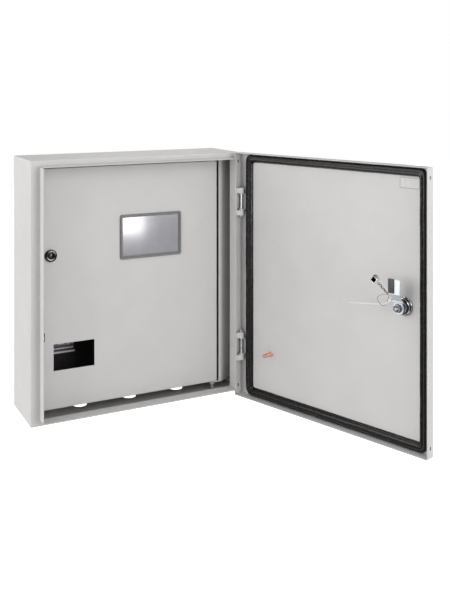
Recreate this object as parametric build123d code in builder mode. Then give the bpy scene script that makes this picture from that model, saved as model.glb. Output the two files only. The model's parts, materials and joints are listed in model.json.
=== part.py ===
"""Wall-mounted sheet-steel control cabinet with a swing-out inner front plate.

Frame: +X to the right, +Z up, the front faces -Y. The origin is the centre of the
rear face, which lies on the wall (y = 0). All sizes are in millimetres. The outer
door is drawn fully open, and the inner front plate is drawn closed.
"""

from build123d import *
from math import cos, radians, sin
import os

# ------------------------------------------------------------------ driving sizes
WIDTH = 402.0  # outside of the cabinet body, left to right
HEIGHT = 450.0
DEPTH = 114.5  # wall face to the front flange
SHEET = 1.2  # body and outer door
BEND_R = 1.6  # outside radius of a folded edge

FLANGE_LEFT = 15.5  # front flange, from the outside to the rain lip
FLANGE_RIGHT = 20.5
FLANGE_END = 10.0  # the same at the top and bottom
LIP = 22.5  # the rain lip stands this far in front of the flange

DOOR_WIDTH = 402.0
DOOR_HEIGHT = 452.0
DOOR_DEPTH = 18.5  # depth of the outer door's folded edge
DOOR_STANDOFF = 28.2  # front flange to the door's outer face when shut
DOOR_OPEN = 109.2  # degrees, where the door's folded edge meets the lip
HINGE_S = 8.2  # hinge axis, in from the door's hinge edge
HINGE_T = 9.4  # hinge axis, in from the door's outer face
HINGE_Z = 134.8  # hinges stand this far above and below the middle

CRADLE = 31.6  # height of a door hinge cradle
KNUCKLE = 9.4  # height of one body knuckle
KNUCKLE_GAP = 0.3
PIN_R = 2.0
PIN_TAIL = 3.5  # the pin sticks out of its last knuckle by this much

GASKET_WIDTH = 12.5
GASKET_HEIGHT = 4.0
GASKET_ABOVE, GASKET_BELOW = 2.0, 3.6  # the bead spreads outwards at the top and bottom
GASKET_INWARD = 4.0  # and inwards on the hinge side

LOCK_S = 351.0  # lock axis, in from the hinge edge of the outer door
LOCK_HOLE_R = 11.0
TONGUE_T = 29.9  # near face of the tongue's free end, from the door's outer face
ROOT_T = 18.0  # near face of its root
TONGUE_THICK = 2.0
TONGUE_WIDTH = 20.0
NECK_WIDTH = 15.0
TONGUE_REACH = 47.5
SPINDLE_R = 6.45

PLATE_Y = -96.5  # front face of the inner front plate
PLATE_SHEET = 1.5
PLATE_FOLD = 12.0
PLATE_LEFT, PLATE_RIGHT = -180.5, 160.0
PLATE_BOTTOM, PLATE_TOP = -206.6, 208.4
PIVOT_X, PIVOT_Y = 153.5, -90.0  # vertical axis of the inner front plate
PIVOT_R = 2.5

WINDOW_X, WINDOW_Z = 25.4, 79.6
WINDOW_WIDTH, WINDOW_HEIGHT = 120.0, 80.0
CUTOUT_X, CUTOUT_Z = -119.0, -118.5
CUTOUT_WIDTH, CUTOUT_HEIGHT = 74.0, 46.0  # four 18 mm modules

INNER_LOCK_X, INNER_LOCK_Z = -161.3, 58.5
CAM_REACH = 28.0
SIDE_SLOT_X, SIDE_SLOT_Z = -173.0, -81.0  # short slot near the inner plate's left edge

ENTRY_R = 12.75  # M25 cable entry
ENTRY_XS = (-94.0, 1.0, 96.0)
ENTRY_Y = -50.5

WALL_HOLE_R = 4.25
WALL_HOLE_DX, WALL_HOLE_DZ = 350.0, 400.0
BOARD_WIDTH, BOARD_HEIGHT = 340.0, 390.0  # mounting plate
BOARD_SHEET = 2.0
BOARD_BACK = 17.0  # gap between the wall face and the mounting plate
STUD_DX, STUD_DZ = 300.0, 350.0
RAIL_LENGTH, RAIL_X, RAIL_Z = 72.0, -131.7, -118.0

# ------------------------------------------------------------------ derived places
LIP_TIP_Y = -(DEPTH + LIP)
MOUTH_LEFT = -WIDTH / 2 + FLANGE_LEFT  # outside of the rain lip
MOUTH_RIGHT = WIDTH / 2 - FLANGE_RIGHT
MOUTH_X = (MOUTH_LEFT + MOUTH_RIGHT) / 2
MOUTH_WIDTH = MOUTH_RIGHT - MOUTH_LEFT
MOUTH_HEIGHT = HEIGHT - 2 * FLANGE_END
WALL_IN = WIDTH / 2 - SHEET  # inside of a side wall
BOARD_FRONT = BOARD_BACK + BOARD_SHEET
PLATE_MID_X = (PLATE_LEFT + PLATE_RIGHT) / 2
PLATE_MID_Z = (PLATE_BOTTOM + PLATE_TOP) / 2
PLATE_BACK = PLATE_Y + PLATE_SHEET

# The hinge axis of the outer door, and the door's own plane at rest. In that plane
# local x (s) runs from the hinge edge to the free edge, local y is up, and local z (t)
# points into the cabinet from the door's outer face.
HINGE_X = WIDTH / 2 - HINGE_S
HINGE_Y = -(DEPTH + DOOR_STANDOFF - HINGE_T)
S_DIR = Vector(-cos(radians(DOOR_OPEN)), -sin(radians(DOOR_OPEN)), 0)
T_DIR = Vector(-sin(radians(DOOR_OPEN)), cos(radians(DOOR_OPEN)), 0)
DOOR_CORNER = Vector(HINGE_X, HINGE_Y, 0) - S_DIR * HINGE_S - T_DIR * HINGE_T
door = Plane(origin=DOOR_CORNER, x_dir=S_DIR, z_dir=T_DIR)
DOOR_DEPTH_AXIS = Axis(DOOR_CORNER, T_DIR)
door_plan = Plane(origin=DOOR_CORNER, x_dir=S_DIR, z_dir=(0, 0, -1))  # local y is t
front = Plane.XZ  # local z points forwards, so y = -offset

os.makedirs("parts", exist_ok=True)


def save(piece, label):
    """Label a finished piece and write it as a STEP file of the same name."""
    piece.part.label = label
    export_step(piece.part, f"parts/{label}.step")


def across(plane, x):
    """The plane through local x, with local x up and local y along the depth."""
    return Plane(
        origin=plane.origin + plane.x_dir * x, x_dir=plane.y_dir, z_dir=plane.x_dir
    )


# ================================================================== cabinet body
# Four folded walls, the front flange, and the rain lip that the door gasket shuts on.
with BuildPart() as cabinet_shell:
    with BuildSketch(front.offset(SHEET)):
        RectangleRounded(WIDTH, HEIGHT, BEND_R)
        Rectangle(WIDTH - 2 * SHEET, HEIGHT - 2 * SHEET, mode=Mode.SUBTRACT)
    extrude(amount=DEPTH - SHEET)
    with BuildSketch(front.offset(DEPTH - SHEET)):
        RectangleRounded(WIDTH, HEIGHT, BEND_R)
        with Locations((MOUTH_X, 0)):
            Rectangle(
                MOUTH_WIDTH - 2 * SHEET, MOUTH_HEIGHT - 2 * SHEET, mode=Mode.SUBTRACT
            )
    extrude(amount=SHEET)
    outline = (
        cabinet_shell.edges()
        .filter_by_position(Axis.Y, -DEPTH - 0.1, -DEPTH + 0.1)
        .filter_by(lambda e: max(abs(e.center().X), abs(e.center().Z) * WIDTH / HEIGHT)
                   > WIDTH / 2 - 1)
    )
    fillet(outline, BEND_R - 0.5)
    with BuildSketch(front.offset(DEPTH - SHEET)):
        with Locations((MOUTH_X, 0)):
            RectangleRounded(MOUTH_WIDTH, MOUTH_HEIGHT, BEND_R)
            Rectangle(
                MOUTH_WIDTH - 2 * SHEET, MOUTH_HEIGHT - 2 * SHEET, mode=Mode.SUBTRACT
            )
    extrude(amount=LIP + SHEET)
    # the lips aren't joined at the corners: a short slit is left in front of the bend
    with BuildSketch(front.offset(DEPTH + 4)):
        with Locations((MOUTH_X, 0)):
            with GridLocations(MOUTH_WIDTH, MOUTH_HEIGHT, 2, 2):
                Rectangle(3.4, 3.4)
    extrude(amount=LIP, mode=Mode.SUBTRACT)
    # cable entries in the floor
    with BuildSketch(Plane.XY.offset(-HEIGHT / 2)):
        with Locations(*[(x, ENTRY_Y) for x in ENTRY_XS]):
            Circle(ENTRY_R)
    extrude(amount=SHEET, mode=Mode.SUBTRACT)
    # rivet holes for the hinge brackets
    with BuildSketch(Plane.YZ.offset(MOUTH_RIGHT - SHEET)):
        with Locations(*[(-DEPTH - 8, z) for z in (-HINGE_Z, HINGE_Z)]):
            Circle(1.6)
    extrude(amount=SHEET, mode=Mode.SUBTRACT)
save(cabinet_shell, "cabinet_shell")

# Rear panel, welded behind the walls.
with BuildPart() as rear_panel:
    with BuildSketch(front):
        RectangleRounded(WIDTH, HEIGHT, BEND_R)
        with GridLocations(WALL_HOLE_DX, WALL_HOLE_DZ, 2, 2):
            Circle(WALL_HOLE_R, mode=Mode.SUBTRACT)
    extrude(amount=SHEET)
save(rear_panel, "rear_panel")

# Four M8 weld studs carry the mounting plate on tube spacers.
with BuildPart() as board_studs:
    with BuildSketch(front.offset(SHEET)):
        with GridLocations(STUD_DX, STUD_DZ, 2, 2):
            Circle(4.0)
    extrude(amount=28.0 - SHEET)
    chamfer(board_studs.edges().group_by(Axis.Y)[0], 0.8)
save(board_studs, "board_studs")

with BuildPart() as board_spacers:
    with BuildSketch(front.offset(SHEET)):
        with GridLocations(STUD_DX, STUD_DZ, 2, 2):
            Circle(7.0)
            Circle(4.0, mode=Mode.SUBTRACT)
    extrude(amount=BOARD_BACK - SHEET)
save(board_spacers, "board_spacers")

with BuildPart() as mounting_plate:
    with BuildSketch(front.offset(BOARD_BACK)):
        RectangleRounded(BOARD_WIDTH, BOARD_HEIGHT, 4)
        with GridLocations(STUD_DX, STUD_DZ, 2, 2):
            Circle(4.0, mode=Mode.SUBTRACT)
        with Locations((RAIL_X, RAIL_Z)):
            with GridLocations(50, 0, 2, 1):
                Circle(2.5, mode=Mode.SUBTRACT)
    extrude(amount=BOARD_SHEET)
save(mounting_plate, "mounting_plate")

with BuildPart() as board_nuts:
    with BuildSketch(front.offset(BOARD_FRONT)):
        with GridLocations(STUD_DX, STUD_DZ, 2, 2):
            Circle(8.5)
            Circle(4.0, mode=Mode.SUBTRACT)
    extrude(amount=1.6)
    with BuildSketch(front.offset(BOARD_FRONT + 1.6)):
        with GridLocations(STUD_DX, STUD_DZ, 2, 2):
            RegularPolygon(6.5, 6, major_radius=False)
            Circle(4.0, mode=Mode.SUBTRACT)
    extrude(amount=5.4)
save(board_nuts, "board_nuts")

# Top-hat rail, 35 x 7.5 mm, as long as the four modules that it carries.
RAIL_SHEET = 1.0
rail_end = Plane(
    origin=(RAIL_X - RAIL_LENGTH / 2, -BOARD_FRONT, RAIL_Z), x_dir=(0, 1, 0), z_dir=(1, 0, 0)
)
with BuildPart() as din_rail:
    with BuildSketch(rail_end):
        with BuildLine():
            Polyline(
                (-7.5, 17.5), (-7.5, 12.5), (-1.0, 12.5), (-1.0, -12.5),
                (-7.5, -12.5), (-7.5, -17.5), (-6.5, -17.5), (-6.5, -13.5),
                (0, -13.5), (0, 13.5), (-6.5, 13.5), (-6.5, 17.5), close=True,
            )
        make_face()
    extrude(amount=RAIL_LENGTH)
    with BuildSketch(front.offset(BOARD_FRONT)):
        with Locations((RAIL_X, RAIL_Z)):
            with GridLocations(25, 0, 3, 1):
                SlotOverall(15, 6.2)
    extrude(amount=RAIL_SHEET, mode=Mode.SUBTRACT)
save(din_rail, "din_rail")

with BuildPart() as rail_screws:
    with BuildSketch(front.offset(BOARD_FRONT + RAIL_SHEET)):
        with Locations((RAIL_X, RAIL_Z)):
            with GridLocations(50, 0, 2, 1):
                Circle(4.6)
    extrude(amount=3.2)
    fillet(rail_screws.edges().group_by(Axis.Y)[0], 1.2)
    with BuildSketch(front.offset(BOARD_FRONT + RAIL_SHEET)):
        with Locations((RAIL_X, RAIL_Z)):
            with GridLocations(50, 0, 2, 1):
                Circle(2.5)
    extrude(amount=-8)
    with BuildSketch(front.offset(BOARD_FRONT + RAIL_SHEET + 1.8)):
        with Locations((RAIL_X, RAIL_Z)):
            with GridLocations(50, 0, 2, 1):
                Rectangle(5.4, 1.2)
                Rectangle(1.2, 5.4)
    extrude(amount=3, mode=Mode.SUBTRACT)
save(rail_screws, "rail_screws")

# Fixed post on the right: a strip that bends back to the side wall, with a tab at
# each end for the inner plate's pivots.
POST_LEFT = 164.6
POST_FLAT = 6.0
POST_BACK = 19.0  # the post runs back by this much where it meets the wall
POST_BEND_R = 9.0
TAB_SHEET = 1.5
TAB_WIDTH, TAB_DEPTH = 23.0, 14.0
TAB_LOW = PLATE_BOTTOM - 0.9  # upper face of the lower tab
TAB_HIGH = PLATE_TOP + 0.9  # lower face of the upper tab
POST_HEIGHT = TAB_HIGH - TAB_LOW + 2 * TAB_SHEET
with BuildPart() as inner_door_post:
    with BuildSketch(Plane.XY.offset(TAB_LOW - TAB_SHEET)):
        with BuildLine():
            FilletPolyline(
                (POST_LEFT, PLATE_Y + TAB_SHEET / 2),
                (POST_LEFT + POST_FLAT, PLATE_Y + TAB_SHEET / 2),
                (WALL_IN - TAB_SHEET / 2, PLATE_Y + POST_BACK),
                (WALL_IN - TAB_SHEET / 2, PLATE_Y + POST_BACK + 15),
                radius=(POST_BEND_R, 2),
            )
        trace(line_width=TAB_SHEET)
    extrude(amount=POST_HEIGHT)
    for level in (TAB_LOW - TAB_SHEET, TAB_HIGH):
        with BuildSketch(Plane.XY.offset(level)):
            with Locations((PIVOT_X + 5.5, PLATE_Y + TAB_DEPTH / 2)):
                RectangleRounded(TAB_WIDTH, TAB_DEPTH, 3)
            with Locations((PIVOT_X, PIVOT_Y)):
                Circle(PIVOT_R, mode=Mode.SUBTRACT)
        extrude(amount=TAB_SHEET)
save(inner_door_post, "inner_door_post")

# Strip on the left wall that the inner lock's cam turns behind.
STRIKE_Y = PLATE_Y + PLATE_FOLD
with BuildPart() as lock_side_strip:
    with BuildSketch(Plane.XY.offset(TAB_LOW)):
        with BuildLine():
            Polyline(
                (-WALL_IN, STRIKE_Y), (-184, STRIKE_Y), (-184, STRIKE_Y + 1.5),
                (-WALL_IN + 1.5, STRIKE_Y + 1.5), (-WALL_IN + 1.5, STRIKE_Y + 16),
                (-WALL_IN, STRIKE_Y + 16), close=True,
            )
        make_face()
    extrude(amount=TAB_HIGH - TAB_LOW)
save(lock_side_strip, "lock_side_strip")

# M5 pivot screws of the inner plate: the head is inside, the nut is past the tab.
NUT_HEIGHT = 4.0
PIVOT_HEAD_GAP = 0.6
with BuildPart() as pivot_screws:
    for up, plate_edge, tab in ((-1, PLATE_BOTTOM, TAB_LOW), (1, PLATE_TOP, TAB_HIGH)):
        head = plate_edge - up * (PLATE_SHEET + PIVOT_HEAD_GAP)
        tail = tab + up * (TAB_SHEET + NUT_HEIGHT + 7.5)
        with BuildSketch(Plane.XY.offset(head)):
            with Locations((PIVOT_X, PIVOT_Y)):
                RegularPolygon(4.0, 6, major_radius=False)
        extrude(amount=-up * 3.5)
        with BuildSketch(Plane.XY.offset(head)):
            with Locations((PIVOT_X, PIVOT_Y)):
                Circle(PIVOT_R)
        extrude(amount=tail - head)
save(pivot_screws, "pivot_screws")

with BuildPart() as pivot_nuts:
    for up, tab in ((-1, TAB_LOW), (1, TAB_HIGH)):
        with BuildSketch(Plane.XY.offset(tab + up * TAB_SHEET)):
            with Locations((PIVOT_X, PIVOT_Y)):
                RegularPolygon(4.0, 6, major_radius=False)
                Circle(PIVOT_R, mode=Mode.SUBTRACT)
        extrude(amount=up * NUT_HEIGHT)
save(pivot_nuts, "pivot_nuts")

# Hinge brackets on the outer side of the right lip. Each has two knuckles that the
# pin is pressed into, above and below the cradle on the door.
WEB_THICK = 1.8
KNUCKLE_R = 4.8
KNUCKLE_Z = CRADLE / 2 + KNUCKLE_GAP  # near face of a knuckle, from the hinge's middle
BRACKET_HALF = KNUCKLE_Z + KNUCKLE
with BuildPart() as hinge_brackets:
    for middle in (-HINGE_Z, HINGE_Z):
        with BuildSketch(Plane.YZ.offset(MOUTH_RIGHT)):
            with Locations((-DEPTH - 13.4, middle)):
                RectangleRounded(17, 2 * BRACKET_HALF, 2)
            with Locations((-DEPTH - 8, middle)):
                Circle(1.6, mode=Mode.SUBTRACT)
        extrude(amount=WEB_THICK)
        for low in (middle - BRACKET_HALF, middle + KNUCKLE_Z):
            with BuildSketch(Plane.XY.offset(low)):
                with BuildLine():
                    Polyline(
                        (MOUTH_RIGHT, HINGE_Y - 3.0), (HINGE_X, HINGE_Y - KNUCKLE_R),
                        (HINGE_X, HINGE_Y + KNUCKLE_R), (MOUTH_RIGHT, HINGE_Y + 2.3),
                        close=True,
                    )
                make_face()
                with Locations((HINGE_X, HINGE_Y)):
                    Circle(KNUCKLE_R)
                    Circle(PIN_R, mode=Mode.SUBTRACT)
            extrude(amount=KNUCKLE)
save(hinge_brackets, "hinge_brackets")

# The pins go in from the outer end of each hinge and show a rounded tail.
with BuildPart() as hinge_pins:
    for middle, up in ((-HINGE_Z, 1), (HINGE_Z, -1)):
        with BuildSketch(Plane.XY.offset(middle - up * (BRACKET_HALF - 0.6))):
            with Locations((HINGE_X, HINGE_Y)):
                Circle(PIN_R)
        extrude(amount=up * (2 * BRACKET_HALF - 0.6 + PIN_TAIL))
    tails = hinge_pins.edges().filter_by(
        lambda e: abs(abs(e.center().Z) - (HINGE_Z - BRACKET_HALF - PIN_TAIL)) < 0.1
    )
    fillet(tails, 1.2)
save(hinge_pins, "hinge_pins")

with BuildPart() as hinge_rivets:
    for middle in (-HINGE_Z, HINGE_Z):
        for start, radius, length in (
            (MOUTH_RIGHT - SHEET, 2.8, -1.1),
            (MOUTH_RIGHT - SHEET, 1.6, SHEET + WEB_THICK),
            (MOUTH_RIGHT + WEB_THICK, 2.8, 1.1),
        ):
            with BuildSketch(Plane.YZ.offset(start)):
                with Locations((-DEPTH - 8, middle)):
                    Circle(radius)
            extrude(amount=length)
save(hinge_rivets, "hinge_rivets")

# Earth stud on the left wall, inside, with its nut and washer.
EARTH_Y, EARTH_Z = -45.0, -160.0
with BuildPart() as cabinet_earth_stud:
    with BuildSketch(Plane.YZ.offset(-WALL_IN)):
        with Locations((EARTH_Y, EARTH_Z)):
            Circle(3.0)
    extrude(amount=16)
    chamfer(cabinet_earth_stud.edges().sort_by(Axis.X)[-1], 0.6)
save(cabinet_earth_stud, "cabinet_earth_stud")

with BuildPart() as cabinet_earth_nut:
    with BuildSketch(Plane.YZ.offset(-WALL_IN)):
        with Locations((EARTH_Y, EARTH_Z)):
            Circle(6.0)
            Circle(3.0, mode=Mode.SUBTRACT)
    extrude(amount=1.6)
    with BuildSketch(Plane.YZ.offset(-WALL_IN + 1.6)):
        with Locations((EARTH_Y, EARTH_Z)):
            RegularPolygon(5.0, 6, major_radius=False)
            Circle(3.0, mode=Mode.SUBTRACT)
    extrude(amount=5)
save(cabinet_earth_nut, "cabinet_earth_nut")

# ================================================================== outer door
# A tray of folded sheet. Its hinge edge is cut back beside the hinge brackets.
NOTCH_T = 14.0
EDGE_SLOT_T, EDGE_SLOT_Z = 10.0, 209.5
EDGE_SLOT_LENGTH, EDGE_SLOT_WIDTH = 6.0, 3.0
with BuildPart() as outer_door_panel:
    with BuildSketch(door):
        with Locations((DOOR_WIDTH / 2, 0)):
            RectangleRounded(DOOR_WIDTH, DOOR_HEIGHT, BEND_R)
    extrude(amount=DOOR_DEPTH)
    outer_face = outer_door_panel.faces().filter_by(door).sort_by(DOOR_DEPTH_AXIS)[0]
    fillet(outer_face.edges(), BEND_R)
    with BuildSketch(door.offset(SHEET)):
        with Locations((DOOR_WIDTH / 2, 0)):
            Rectangle(DOOR_WIDTH - 2 * SHEET, DOOR_HEIGHT - 2 * SHEET)
    extrude(amount=DOOR_DEPTH, mode=Mode.SUBTRACT)
    with BuildSketch(door):
        with Locations((LOCK_S, 0)):
            Circle(LOCK_HOLE_R)
    extrude(amount=SHEET, mode=Mode.SUBTRACT)
    with BuildSketch(across(door, -1)):
        with Locations((0, EDGE_SLOT_T)):
            with GridLocations(2 * EDGE_SLOT_Z, 0, 2, 1):
                SlotOverall(EDGE_SLOT_LENGTH, EDGE_SLOT_WIDTH)
    extrude(amount=DOOR_WIDTH + 2, mode=Mode.SUBTRACT)
    with BuildSketch(across(door, -1)):
        with Locations(
            *[(z, NOTCH_T + DOOR_DEPTH / 2) for z in (-HINGE_Z, HINGE_Z)]
        ):
            Rectangle(2 * BRACKET_HALF + 5, DOOR_DEPTH)
    extrude(amount=1 + SHEET, mode=Mode.SUBTRACT)
save(outer_door_panel, "outer_door_panel")

# Plugs that close the slots in the door's folded side edges.
with BuildPart() as door_edge_plugs:
    for s in (0, DOOR_WIDTH - SHEET):
        with BuildSketch(across(door, s)):
            with Locations((0, EDGE_SLOT_T)):
                with GridLocations(2 * EDGE_SLOT_Z, 0, 2, 1):
                    SlotOverall(EDGE_SLOT_LENGTH, EDGE_SLOT_WIDTH)
        extrude(amount=SHEET)
save(door_edge_plugs, "door_edge_plugs")

# Foamed-in-place gasket. It meets the rain lip all round.
GASKET_S = (
    FLANGE_RIGHT + SHEET / 2,
    DOOR_WIDTH - FLANGE_LEFT - SHEET / 2,
)
GASKET_MID = sum(GASKET_S) / 2
GASKET_SPAN = GASKET_S[1] - GASKET_S[0]
GASKET_RISE = MOUTH_HEIGHT - SHEET
with BuildPart() as door_gasket:
    with BuildSketch(door.offset(SHEET)):
        with Locations((GASKET_MID, (GASKET_ABOVE - GASKET_BELOW) / 2)):
            RectangleRounded(
                GASKET_SPAN + GASKET_WIDTH,
                GASKET_RISE + GASKET_WIDTH + GASKET_ABOVE + GASKET_BELOW,
                11,
            )
        with Locations((GASKET_MID + GASKET_INWARD / 2, 0)):
            RectangleRounded(
                GASKET_SPAN - GASKET_WIDTH - GASKET_INWARD, GASKET_RISE - GASKET_WIDTH, 4,
                mode=Mode.SUBTRACT,
            )
    extrude(amount=GASKET_HEIGHT)
    crown = door_gasket.faces().filter_by(door).sort_by(DOOR_DEPTH_AXIS)[-1]
    fillet(crown.edges(), 2.2)
save(door_gasket, "door_gasket")

# Hinge cradles: a U of sheet in the door's folded edge, with an ear at each end.
EAR = 2.0
CRADLE_SHEET = 1.2
with BuildPart() as hinge_cradles:
    for middle in (-HINGE_Z, HINGE_Z):
        with BuildSketch(door_plan.offset(-middle - CRADLE / 2)):
            with Locations((SHEET + 5.8, SHEET + CRADLE_SHEET / 2)):
                Rectangle(11.6, CRADLE_SHEET)
            with Locations((SHEET + CRADLE_SHEET / 2, SHEET + 6.2)):
                Rectangle(CRADLE_SHEET, 12.4)
        extrude(amount=CRADLE)
        for top in (middle + CRADLE / 2, middle - CRADLE / 2 + EAR):
            with BuildSketch(door_plan.offset(-top)):
                with BuildLine():
                    Polyline(
                        (SHEET, SHEET), (SHEET + 11.6, SHEET), (SHEET + 11.6, HINGE_T),
                        (HINGE_S, HINGE_T + 4.6), (SHEET, HINGE_T + 4.2), close=True,
                    )
                make_face()
                with Locations((HINGE_S, HINGE_T)):
                    Circle(4.6)
                    Circle(PIN_R + 0.06, mode=Mode.SUBTRACT)
            extrude(amount=EAR)
save(hinge_cradles, "hinge_cradles")

# Blank data plate near the top free corner.
with BuildPart() as data_plate:
    with BuildSketch(door.offset(SHEET)):
        with Locations((360.5, 197)):
            RectangleRounded(36, 17, 1)
    extrude(amount=0.5)
save(data_plate, "data_plate")

# Copper-plated M6 earth stud.
DOOR_STUD_S, DOOR_STUD_Z = 74.4, -137.5
with BuildPart() as door_earth_stud:
    with BuildSketch(door.offset(SHEET)):
        with Locations((DOOR_STUD_S, DOOR_STUD_Z)):
            Circle(4.2)
    extrude(amount=1)
    with BuildSketch(door.offset(SHEET)):
        with Locations((DOOR_STUD_S, DOOR_STUD_Z)):
            Circle(3.0)
    extrude(amount=23.5)
    tip = door_earth_stud.edges().sort_by(DOOR_DEPTH_AXIS)[-1]
    chamfer(tip, 0.7)
save(door_earth_stud, "door_earth_stud")

# Lock housing through the door, held from inside by a seal and a ring nut.
HOUSING_END = 16.5
CAP_R, CAP_T = 14.0, 3.2
SEAL_R, SEAL_T = 15.0, 0.8
lock_front = door.offset(-CAP_T)
with BuildPart() as lock_housing:
    with BuildSketch(lock_front):
        with Locations((LOCK_S, 0)):
            Circle(CAP_R)
    extrude(amount=CAP_T)
    fillet(lock_housing.edges().sort_by(DOOR_DEPTH_AXIS)[0], 1.2)
    with BuildSketch(door):
        with Locations((LOCK_S, 0)):
            Circle(LOCK_HOLE_R)
    extrude(amount=HOUSING_END)
    chamfer(lock_housing.edges().sort_by(DOOR_DEPTH_AXIS)[-1], 1.0)
    with BuildSketch(lock_front):
        with Locations((LOCK_S, 0)):
            Circle(SPINDLE_R + 0.05)
    extrude(amount=HOUSING_END + CAP_T, mode=Mode.SUBTRACT)
save(lock_housing, "lock_housing")

with BuildPart() as lock_seal:
    with BuildSketch(door.offset(SHEET)):
        with Locations((LOCK_S, 0)):
            Circle(SEAL_R)
            Circle(LOCK_HOLE_R, mode=Mode.SUBTRACT)
    extrude(amount=SEAL_T)
save(lock_seal, "lock_seal")

RING_R, RING_T = 15.2, 2.0
with BuildPart() as lock_nut:
    with BuildSketch(door.offset(SHEET + SEAL_T)):
        with Locations((LOCK_S, 0)):
            Circle(RING_R)
            Circle(LOCK_HOLE_R, mode=Mode.SUBTRACT)
    extrude(amount=RING_T)
    with BuildSketch(door.offset(SHEET + SEAL_T + RING_T)):
        with Locations((LOCK_S, 0)):
            RegularPolygon(13.0, 6, major_radius=False)
            Circle(LOCK_HOLE_R, mode=Mode.SUBTRACT)
    extrude(amount=5.0)
save(lock_nut, "lock_nut")

# ================================================================== lock tongue
# The spindle has a key socket in front, and a square and a thread for the tongue.
SPINDLE_SQUARE = 8.0
THREAD_R, THREAD_END = 3.0, 27.0
SPINDLE_FACE = door.offset(-2.4)
with BuildPart() as lock_spindle:
    with BuildSketch(SPINDLE_FACE):
        with Locations((LOCK_S, 0)):
            Circle(SPINDLE_R)
    extrude(amount=ROOT_T + 2.4)
    with BuildSketch(door.offset(ROOT_T)):
        with Locations((LOCK_S, 0)):
            Rectangle(SPINDLE_SQUARE, SPINDLE_SQUARE)
    extrude(amount=TONGUE_THICK)
    with BuildSketch(door.offset(ROOT_T + TONGUE_THICK)):
        with Locations((LOCK_S, 0)):
            Circle(THREAD_R)
    extrude(amount=THREAD_END - ROOT_T - TONGUE_THICK)
    # key socket: a ring around a 3 mm post, with two slots for the key's bits
    with BuildSketch(SPINDLE_FACE):
        with Locations((LOCK_S, 0)):
            Circle(4.6)
            Circle(1.5, mode=Mode.SUBTRACT)
            Rectangle(9.2, 2.0, mode=Mode.SUBTRACT)
    extrude(amount=9, mode=Mode.SUBTRACT)
save(lock_spindle, "lock_spindle")

# The tongue is cranked: its free end stands further in than its root.
CRANK_START, CRANK_END = 8.5, 24.0
HALF_THICK = TONGUE_THICK / 2
with BuildPart() as lock_tongue:
    with BuildSketch(across(door, LOCK_S - TONGUE_WIDTH)):
        with BuildLine():
            FilletPolyline(
                (-TONGUE_REACH, ROOT_T + HALF_THICK),
                (CRANK_START, ROOT_T + HALF_THICK),
                (CRANK_END, TONGUE_T + HALF_THICK),
                (TONGUE_REACH + 1, TONGUE_T + HALF_THICK),
                radius=2,
            )
        trace(line_width=TONGUE_THICK)
    extrude(amount=2 * TONGUE_WIDTH)
    with BuildSketch(door) as outline:
        with Locations((LOCK_S, (CRANK_END + TONGUE_REACH - 2) / 2)):
            RectangleRounded(TONGUE_WIDTH, TONGUE_REACH - CRANK_END + 2, 1.5)
        with Locations((LOCK_S, CRANK_END / 2)):
            Rectangle(NECK_WIDTH, CRANK_END)
        with Locations((LOCK_S, 0)):
            Circle(9.5)
            Rectangle(SPINDLE_SQUARE, SPINDLE_SQUARE, mode=Mode.SUBTRACT)
    extrude(amount=TONGUE_T + 2 * TONGUE_THICK, mode=Mode.INTERSECT)
save(lock_tongue, "lock_tongue")

# Dark run-up pad on the leading half of the tongue.
PAD_WIDTH, PAD_HEIGHT, PAD_THICK = 9.8, 21.5, 1.2
with BuildPart() as tongue_pad:
    with BuildSketch(door.offset(TONGUE_T + TONGUE_THICK)):
        with Locations((LOCK_S - 4.5, TONGUE_REACH - 0.8 - PAD_HEIGHT / 2)):
            RectangleRounded(PAD_WIDTH, PAD_HEIGHT, 1)
    extrude(amount=PAD_THICK)
save(tongue_pad, "tongue_pad")

NUT_T = ROOT_T + TONGUE_THICK
with BuildPart() as tongue_nut:
    with BuildSketch(door.offset(NUT_T)):
        with Locations((LOCK_S, 0)):
            Circle(7.2)
            Circle(THREAD_R, mode=Mode.SUBTRACT)
    extrude(amount=1.2)
    with BuildSketch(door.offset(NUT_T + 1.2)):
        with Locations((LOCK_S, 0)):
            RegularPolygon(6.0, 6, major_radius=False)
            Circle(THREAD_R, mode=Mode.SUBTRACT)
    extrude(amount=4.4)
save(tongue_nut, "tongue_nut")

# Nylon cable tie, pulled loosely round the tongue's neck, with its head at the left
# and a long tail.
TIE_WIDTH, TIE_THICK = 2.8, 1.2
TIE_Z = 11.5
LOOP_T, LOOP_DEPTH = 18.8, 5.5  # the strap's inside, which clears the neck's slope
HEAD_WIDTH, HEAD_HEIGHT, HEAD_T, HEAD_DEPTH = 5.8, 4.6, 22.6, 4.2
HEAD_S = LOCK_S - NECK_WIDTH / 2 - TIE_THICK - HEAD_WIDTH / 2
TAIL_BEND = Vector(328.5, 3.4)  # the tail drops from the head to here
TAIL_END = Vector(261.0, -6.0)
TAIL_T = 24.4
with BuildPart() as cable_tie:
    with BuildSketch(door_plan.offset(-TIE_Z - TIE_WIDTH / 2)):
        with Locations((LOCK_S, LOOP_T + LOOP_DEPTH / 2)):
            RectangleRounded(
                NECK_WIDTH + 0.4 + 2 * TIE_THICK, LOOP_DEPTH + 2 * TIE_THICK, 1.7
            )
            RectangleRounded(NECK_WIDTH + 0.4, LOOP_DEPTH, 0.5, mode=Mode.SUBTRACT)
    extrude(amount=TIE_WIDTH)
    with BuildSketch(door.offset(HEAD_T)):
        with Locations((HEAD_S, TIE_Z)):
            RectangleRounded(HEAD_WIDTH, HEAD_HEIGHT, 1)
    extrude(amount=HEAD_DEPTH)
    with BuildSketch(door.offset(TAIL_T)):
        with BuildLine():
            FilletPolyline((HEAD_S, TIE_Z), TAIL_BEND, TAIL_END, radius=6)
        trace(line_width=TIE_WIDTH)
    extrude(amount=TIE_THICK)
save(cable_tie, "cable_tie")

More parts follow.
